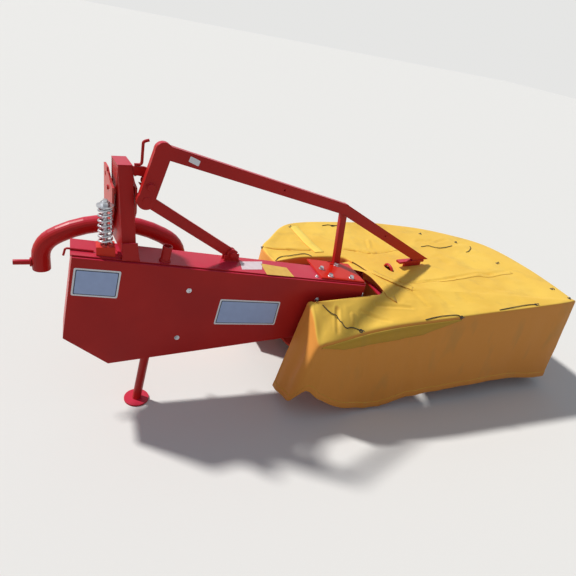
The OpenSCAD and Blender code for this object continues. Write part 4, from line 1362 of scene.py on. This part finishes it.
bm = bmesh.new()
for u, w in FACE_SCREWS:
    screw(bm, spot(on_beam, u, HOUSING_FACE, w, "rear"))
for u, v in PLATE_BOLTS:
    bolt(bm, spot(on_beam, u, v, PLATE_TOP))
screw(bm, spot(on_beam, 826, -36, ROOF), 5.5, 8.5)
for x in DRUMS_AT:
    for place in spots_round(on_floor, (x, 0, GEARBOX_TOP), GEARBOX_BOLTS_RADIUS, 8, 22.5):
        bolt(bm, place, SMALL_HEX, SMALL_WASHER)
    turn(bm, spot(on_floor, x, 0, GEARBOX_TOP), GEARBOX_LID, 32)
for place in spots_round(on_floor, INPUT_FLANGE, INPUT_BOLTS_RADIUS, 6, 30, "front"):
    bolt(bm, place, SMALL_HEX, SMALL_WASHER - 0.5)
for x, height in ARM_CLAMPS:
    for y in (-CLAMP_STUDS[1], CLAMP_STUDS[1]):
        for side in (-CLAMP_STUDS[0], CLAMP_STUDS[0]):
            rod(bm, spot(on_floor, x + side, y, height - 4), STUD_RADIUS, 0, STUD_LENGTH, 10)
for along, y in LUG_BOLTS:
    here = point(on_truss, along, 0, 0)
    bolt(bm, Matrix.Translation((here.x, y * MM, (GEAR_TOP + LUG_FOOT) * MM)), SMALL_HEX, SMALL_WASHER)
bolt(bm, spot(on_truss, BRACE_PIN[0], BRACE_PIN_FRONT, BRACE_PIN[1], "front"), 19, 14)
finish_piece("frame_bolts", bm, "zinc")

# %% [markdown]
# Pins that were painted with the frame
#
# The arm of the truss is held by a pin whose neck runs through the curved slot of the mast's
# plate, with a spacer behind the plate and a washer and nut in front of it. That is how the
# mower tilts on its hitch. The neck is thinner than the pin, so that it keeps clear of the
# slot's ends. A painted washer and a cap cover the rear ends of the other two pins.

# %% Painted pins
# The arm's two pins, along and up the truss
ARM_PIN = (-357, 1010)
ARM_LOW_PIN = (-370, 958)
PIN_WASHER = 17
ARM_FACE = 12.5
SLOT_PLATE_REAR = 57.95
SLOT_PLATE_FRONT = 65.95
SPACER_END = SLOT_PLATE_REAR - ARM_FACE - 0.7
NECK_RADIUS = 8
NECK_START = 27.5
NECK_END = SLOT_PLATE_FRONT + 8
BRACE_CAP = [(0, 0.2), (15, 0.2), (15, 3), (12, 3.2), (12, 6.5), (10, 8), (0, 8)]
bm = bmesh.new()
arm_pin_rear = spot(on_truss, ARM_PIN[0], -ARM_FACE, ARM_PIN[1], "rear")
washer(bm, arm_pin_rear, PIN_WASHER, 0, 3)
turn(bm, arm_pin_rear, [(0, 3), (13.5, 3), (13.5, 7.5), (12, 9), (0, 9)], 28)
arm_pin_front = spot(on_truss, ARM_PIN[0], ARM_FACE, ARM_PIN[1], "front")
turn(bm, arm_pin_front, [(10.3, 0.4), (16, 0.4), (16, SPACER_END), (10.3, SPACER_END)], 28)
rod(bm, arm_pin_front, NECK_RADIUS, NECK_START, NECK_END, 24)
nut_front = spot(on_truss, ARM_PIN[0], SLOT_PLATE_FRONT + 0.7, ARM_PIN[1], "front")
washer(bm, nut_front, PIN_WASHER, 0, 3)
hexagon(bm, nut_front, 22, 11, 3)
washer(bm, spot(on_truss, ARM_LOW_PIN[0], -ARM_FACE, ARM_LOW_PIN[1], "rear"), 14, 0, 2.5)
turn(bm, spot(on_truss, BRACE_PIN[0], BRACE_PIN_REAR, BRACE_PIN[1], "rear"), BRACE_CAP, 28)
finish_piece("arm_pin_parts", bm, "red_paint")

# %% [markdown]
# The plate at the mast's foot
#
# Behind the mast's foot a flat plate stands on the housing's roof and covers the rear end of the
# pivot pin. It is cut from sheet with a foot that flares to the right, where it is welded down.
# It is on the frame, and the mast turns in front of it with a few millimetres to spare.

# %% Mast foot plate
# How far the plate's two faces lie behind the mast's own plane
FOOT_PLATE = (7, 12)
FOOT_OUTLINE = ((-5, 733.5), (61, 725.4), (54, 768), (51, 803), (-2, 803))
bm = bmesh.new()
slab(bm, on_mast @ FACING["rear"], FOOT_OUTLINE, *FOOT_PLATE)
soften(finish_piece("mast_foot_plate", bm, "red_paint"))

# %% [markdown]
# Weld seams
#
# Where plates meet, a weld bead fills the corner: a low rounded bar whose surface is rippled like
# a row of overlapping coins. It is swept along the corner with a radius that rises and falls
# every few millimetres. Small as it is, it stops the plates from looking pushed together.

# %% Weld beads
RIPPLE = 0.0036
BEAD_STEP = 0.0024
# Straight seams on a part: the part, both ends and the bead's radius
SEAMS = [
    (on_beam, (844, -53, ROOF + 0.5), (844, 74, ROOF + 0.5), 3),
    (on_truss, (1062, 5, 578), (1178, 5, 578), 2.4),
    (on_truss, (1062, -5, 578), (1178, -5, 578), 2.4),
]
SEAMS += [(on_truss, (530, d, 881), (566, d, 872), 3.2) for d in (-11.5, 11.5)]
SEAMS += [(on_truss, (-358, d, 922), (-336, d, 944), 3) for d in (0.4, 12.6)]
# Seams on the housing's roof: the part that stands there, both ends in its plan, the bead's
# radius and the height of the sheet below
ROOF_SEAMS = [(on_truss, (536.5, d), (570.5, d), 3.2, PLATE_TOP + 1) for d in (-11.5, 11.5)]
ROOF_SEAMS += [(on_truss, (-30, d), (36, d), 2.6, ROOF) for d in (-8.2, 0.4, 12.4, 21.2)]
ROOF_SEAMS += [(on_floor, (-1078, -298.5), (-1012, -298.5), 3, ROOF)]
LUG_CORNERS = ((-31, -4), (37, -4), (-31, 17), (37, 17))


def weld_bead(bm, corners, radius, closed=False):
    """A rippled bead along a line of corner points."""
    line = resampled(list(corners) + ([corners[0]] if closed else []), BEAD_STEP)
    sweep(bm, line, lambda run: radius * MM * (0.82 + 0.18 * abs(math.sin(math.pi * run / RIPPLE))), 8)


def ring_weld(bm, place, radius, bead):
    """A bead round a tube that stands on a surface."""
    weld_bead(bm, circle(place, radius, 0, 24), bead, True)


def on_roof(x, y, rise=ROOF):
    """The point of the sloping roof, or of a plate on it, above a place in plan."""
    start = point(on_beam, 0, 0, rise)
    return Vector((x, y, start.z - (x - start.x) * math.tan(BEAM_SLOPE)))


bm = bmesh.new()
for base, start, end, bead in SEAMS:
    weld_bead(bm, [point(base, *start), point(base, *end)], bead)
for base, start, end, bead, rise in ROOF_SEAMS:
    ends = [point(base, *place, 0) for place in (start, end)]
    weld_bead(bm, [on_roof(e.x, e.y, rise) for e in ends], bead)
for x, y in LUG_CORNERS:
    here = point(on_truss, x, y, 0)
    weld_bead(bm, [on_roof(here.x + side, here.y) for side in (-0.004, 0.004)], 4)
for y in (-51, -164):
    ring_weld(bm, spot(on_floor, INPUT_FLANGE[0], y, INPUT_FLANGE[2], "front"), 49, 3.4)
finish_piece("frame_welds", bm, "red_paint", material=weld_paint)

# %% [markdown]
# Weld seams on the hitch
#
# The same beads join the link pins to the arch's legs, the mast to the arch and the plates to the
# mast. They turn with the hitch, so they are a piece of their own.

# %% Weld beads on the hitch
# The middle between the two link pins, and how far from it each leaves its leg of the arch
LINK_PINS = (-1007, -50, 589)
LINK_PIN_START = 306.5
bm = bmesh.new()
for side in (-LINK_PIN_START, LINK_PIN_START):
    ring_weld(bm, spot(on_floor, LINK_PINS[0] + side, *LINK_PINS[1:], "right"), 12.5, 3)
for x in (-20, -12, 62.3, 70.3):
    weld_bead(bm, [point(on_mast, x, y, 796) for y in (112, 150, 190, 228)], 2.4)
for x, y, low in ((0.5, 192.5, 760), (49.5, 192.5, 760), (51, 84.6, 1008), (51, 93.4, 1008)):
    weld_bead(bm, [point(on_mast, x, y, z) for z in (low, 1060)], 2.6)
finish_piece("hitch_welds", bm, "red_paint", "hitch", weld_paint)

# %% [markdown]
# Pins and nuts on the hitch
#
# The mast turns on a thick pin at its foot with a nut in front. Each lower link pin has a collar
# where it leaves the arch, and two pins end in round heads on the mast's left side. All are
# turned forms or hexagons.

# %% Hitch hardware
bm = bmesh.new()
hexagon(bm, spot(on_mast, 25, 80.2, 766, "front"), 30, 12)
finish_piece("hitch_pivot_nuts", bm, "zinc")

bm = bmesh.new()
for side, facing in ((-LINK_PIN_START - 0.5, "left"), (LINK_PIN_START + 0.5, "right")):
    turn(bm, spot(on_floor, LINK_PINS[0] + side, *LINK_PINS[1:], facing),
         [(11.3, 0.3), (19, 0.3), (19, 5), (18, 6), (11.3, 6)], 28)
for z in (1025, 955):
    turn(bm, spot(on_mast, -20, 165, z, "left"), [(0, 0), (9, 0), (9, 4), (8, 5), (0, 5)], 20)
finish_piece("hitch_collars", bm, "red_paint", "hitch")

# %% [markdown]
# Splined input shaft
#
# The tractor's drive shaft slides on six splines with a groove for its locking pin. The solid is a
# plain cylinder, so this piece stands for it: the profile of the splines is a ring of points
# whose radius steps between two values, drawn out along the shaft and pulled in at the groove
# and at the chamfered tip.

# %% Splined shaft
SPLINE_COUNT = 6
SPLINE_TOP = 17.4
SPLINE_ROOT = 14.6
SPLINE_SIDES = 72
SHAFT_START = 75
SHAFT_SEAL = [(0, -35), (21.95, -35), (21.95, -1), (21, 0), (15, 0), (15, 3), (0, 3)]
# Millimetres along the shaft, and the share of the full radius there
SHAFT_STATIONS = ((2, 0.86), (3, 1.0), (36, 1.0), (37.5, 0.86), (44, 0.86), (45.5, 1.0), (71, 1.0),
                  (73.5, 0.9))


def spline_radius(angle):
    """The radius of the splined section at an angle."""
    phase = angle * SPLINE_COUNT / (2 * math.pi) % 1
    if phase < 0.42:
        return SPLINE_TOP
    return SPLINE_ROOT if 0.50 < phase < 0.92 else (SPLINE_TOP + SPLINE_ROOT) / 2


shaft_base = spot(on_beam, 0, SHAFT_START, 0, "front")
bm = bmesh.new()
turn(bm, shaft_base, SHAFT_SEAL, 40)
rings = []
for along, share in SHAFT_STATIONS:
    ring = []
    for k in range(SPLINE_SIDES):
        a = 2 * math.pi * k / SPLINE_SIDES
        r = min(spline_radius(a), SPLINE_TOP * share)
        ring.append(bm.verts.new(point(shaft_base, r * math.cos(a), r * math.sin(a), along)))
    rings.append(ring)
bridge(bm, rings)
shaft = finish_piece("splined_shaft", bm, "zinc", "input")
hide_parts("input_shaft")

# %% [markdown]
# Hood screws
#
# The black hood round the shaft is screwed to the housing through its back wall, with three
# screws above and beside the shaft.

# %% Hood screws
HOOD_SCREWS = (0, SHAFT_START - 0.5, 0)
HOOD_SCREWS_RADIUS = 96
bm = bmesh.new()
for place in spots_round(on_beam, HOOD_SCREWS, HOOD_SCREWS_RADIUS, 4, 0, "front")[:3]:
    bolt(bm, place, SMALL_HEX, SMALL_WASHER)
finish_piece("hood_screws", bm, "zinc")

# %% [markdown]
# Knife pins, drum ribs and skid bolts
#
# Each knife hangs on a shouldered pin through the rotor disc, with a collar above and a nut
# below, and swings freely on it. Four upright ribs on each drum carry the cut grass round. Under
# each drum, the skid dish is held by a ring of bolts. Every piece rides on the body that it
# turns with.

# %% Rotors and skids
KNIFE_PIN_RADIUS = 234
DISC_TOP = 94
DISC_UNDER = 84
KNIFE_UNDER = 79.7
PIN_BELOW = [(0, KNIFE_UNDER - 7), (11, KNIFE_UNDER - 7), (14, KNIFE_UNDER - 5), (14, KNIFE_UNDER - 0.6),
             (8, KNIFE_UNDER - 0.6), (8, DISC_UNDER - 0.2), (0, DISC_UNDER - 0.2)]
PIN_ABOVE = [(0, DISC_TOP + 0.1), (14, DISC_TOP + 0.1), (14, DISC_TOP + 4), (12, DISC_TOP + 5),
             (0, DISC_TOP + 5)]
RIB = ((199, 140), (209, 142), (177, 345), (168.5, 352))
DRUM_COLLAR = [(60, 370.1), (96, 370.1), (98, 372.5), (96, 374.8), (60, 374.8), (60, 370.1)]
SKID_BOLTS_RADIUS = 46
SKID_BOLTS_HEIGHT = 62

RIB_HALF = 3
RIBS_AHEAD = 30

for drum, x, phase in (("left_drum", DRUMS_AT[0], 20), ("right_drum", DRUMS_AT[1], 100)):
    bm = bmesh.new()
    for place in spots_round(on_floor, (x, 0, 0), KNIFE_PIN_RADIUS, 3, phase):
        turn(bm, place, PIN_BELOW, 24)
        turn(bm, place, PIN_ABOVE, 24)
    finish_piece(drum + "_knife_pins", bm, "zinc", drum)
    bm = bmesh.new()
    for k in range(4):
        turned = math.radians(phase + RIBS_AHEAD + 90 * k)
        out = spot(on_floor, x, 0, 0) @ Matrix.Rotation(turned, 4, "Z")
        bridge(bm, [[bm.verts.new(point(out, r, y, z)) for r, z in RIB] for y in (-RIB_HALF, RIB_HALF)])
    turn(bm, spot(on_floor, x, 0, 0), DRUM_COLLAR, 40)
    finish_piece(drum + "_ribs", bm, "drum_paint", drum)

for skid, x in (("left_skid", DRUMS_AT[0]), ("right_skid", DRUMS_AT[1])):
    bm = bmesh.new()
    for place in spots_round(on_floor, (x, 0, SKID_BOLTS_HEIGHT), SKID_BOLTS_RADIUS, 6):
        hexagon(bm, place, SMALL_HEX, 7)
    finish_piece(skid + "_bolts", bm, "zinc", skid)

# %% [markdown]
# The hook in the canvas
#
# A bent rod is welded to the gear beam and comes up through the small slit in the canvas. It is a
# swept round bar: up from the beam, then over to the rear.

# %% Canvas hook
HOOK_FOOT = (404, -44)
HOOK_LINE = ((*HOOK_FOOT, 486.5), (404, -46, 520), (404, -50, 548), (406, -58, 561), (408, -76, 564),
             (410, -98, 558), (411, -108, 546), (411, -110, 536))
HOOK_ROD_RADIUS = 0.0075
bm = bmesh.new()
sweep(bm, smooth_row([point(on_floor, *p) for p in HOOK_LINE], 56), lambda run: HOOK_ROD_RADIUS, 14)
ring_weld(bm, spot(on_floor, *HOOK_FOOT, GEAR_TOP + 1), 8, 2.4)
finish_piece("canvas_slit_hook", bm, "red_paint")

# %% [markdown]
# Blank plates and labels
#
# Two blank plates sit on the housing's face, a label and a sticker on its roof and one on the truss. A plate
# is a thin film in three tones, each a hair above the last: a pale margin, a dark border line and a plain
# field whose blue is a painted reflection of the sky. All are cut to the same outline, drawn in by a few
# millimetres.

# %% Plates and labels
FILM = 0.35
# Layers of a plate: how far it is drawn in, its two heights, its corners' radius and its film
LAYERS = (
    ("margin", 0, 0.1, 1.0, 7, plate_rim),
    ("line", 6.5, 1.0, 1.0 + FILM, 5, plate_line),
    # The field's blue is a painted reflection of the sky
    ("field", 10, 1.0 + FILM, 1.0 + 2 * FILM, 4, plate_sky_blue),
)
PLATES = (
    ("face_plate_left", ((-190, 107), (-25, 106), (-25, 226), (-189, 224))),
    ("face_plate_right", ((387, 6), (676, 18), (669, 143), (388, 135))),
)
face_of_housing = spot(on_beam, 0, HOUSING_FACE, 0, "rear")
face_of_truss = spot(on_truss, 0, -ARM_FACE, 0, "rear")
LABELS = (
    ("roof_label", on_beam, ROOF, ((566, -63), (700, -60), (693, 22), (569, 36)), label_yellow),
    ("roof_sticker", on_beam, ROOF, ((458, -40), (557, -21), (584, 58), (470, 34)), label_pale),
    ("truss_sticker", face_of_truss, 0, ((-225, 1108), (-186, 1091), (-179, 1111), (-218, 1128)), plate_rim),
)


def at_corners(outline, reach):
    """Each corner of an outline with its ways to the corners before and after, a reach long."""
    points = [Vector(p) for p in outline]
    ahead = points[1:] + points[:1]
    return [
        (here, (before - here).normalized() * reach, (after - here).normalized() * reach)
        for before, here, after in zip(points[-1:] + points, points, ahead)
    ]


def rounded(outline, radius):
    """An outline with small round corners."""
    out = []
    for here, before, after in at_corners(outline, radius):
        for t in (0, 0.25, 0.5, 0.75, 1):
            out.append((1 - t) ** 2 * (here + before) + 2 * t * (1 - t) * here + t * t * (here + after))
    return out


def film_piece(name, base, outline, low, high, radius, material):
    """One layer of a plate: a thin slab with round corners."""
    bm = bmesh.new()
    slab(bm, base, rounded(outline, radius), low, high)
    finish_piece(name, bm, "black_plastic", material=material)


for name, outline in PLATES:
    for layer, inset, low, high, radius, material in LAYERS:
        drawn_in = [here + before + after for here, before, after in at_corners(outline, inset)]
        film_piece(name + "_" + layer, face_of_housing, drawn_in, low, high, radius, material)
for name, base, height, outline, material in LABELS:
    film_piece(name, base, outline, height + 0.1, height + 0.1 + FILM, 3, material)

# %% [markdown]
# Size, and the end
#
# The size of the dressed machine is printed.

# %% Size of the dressed machine, then the end of the script
low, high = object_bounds()
print("size of the dressed machine", [round(h - l, 3) for l, h in zip(low, high)])
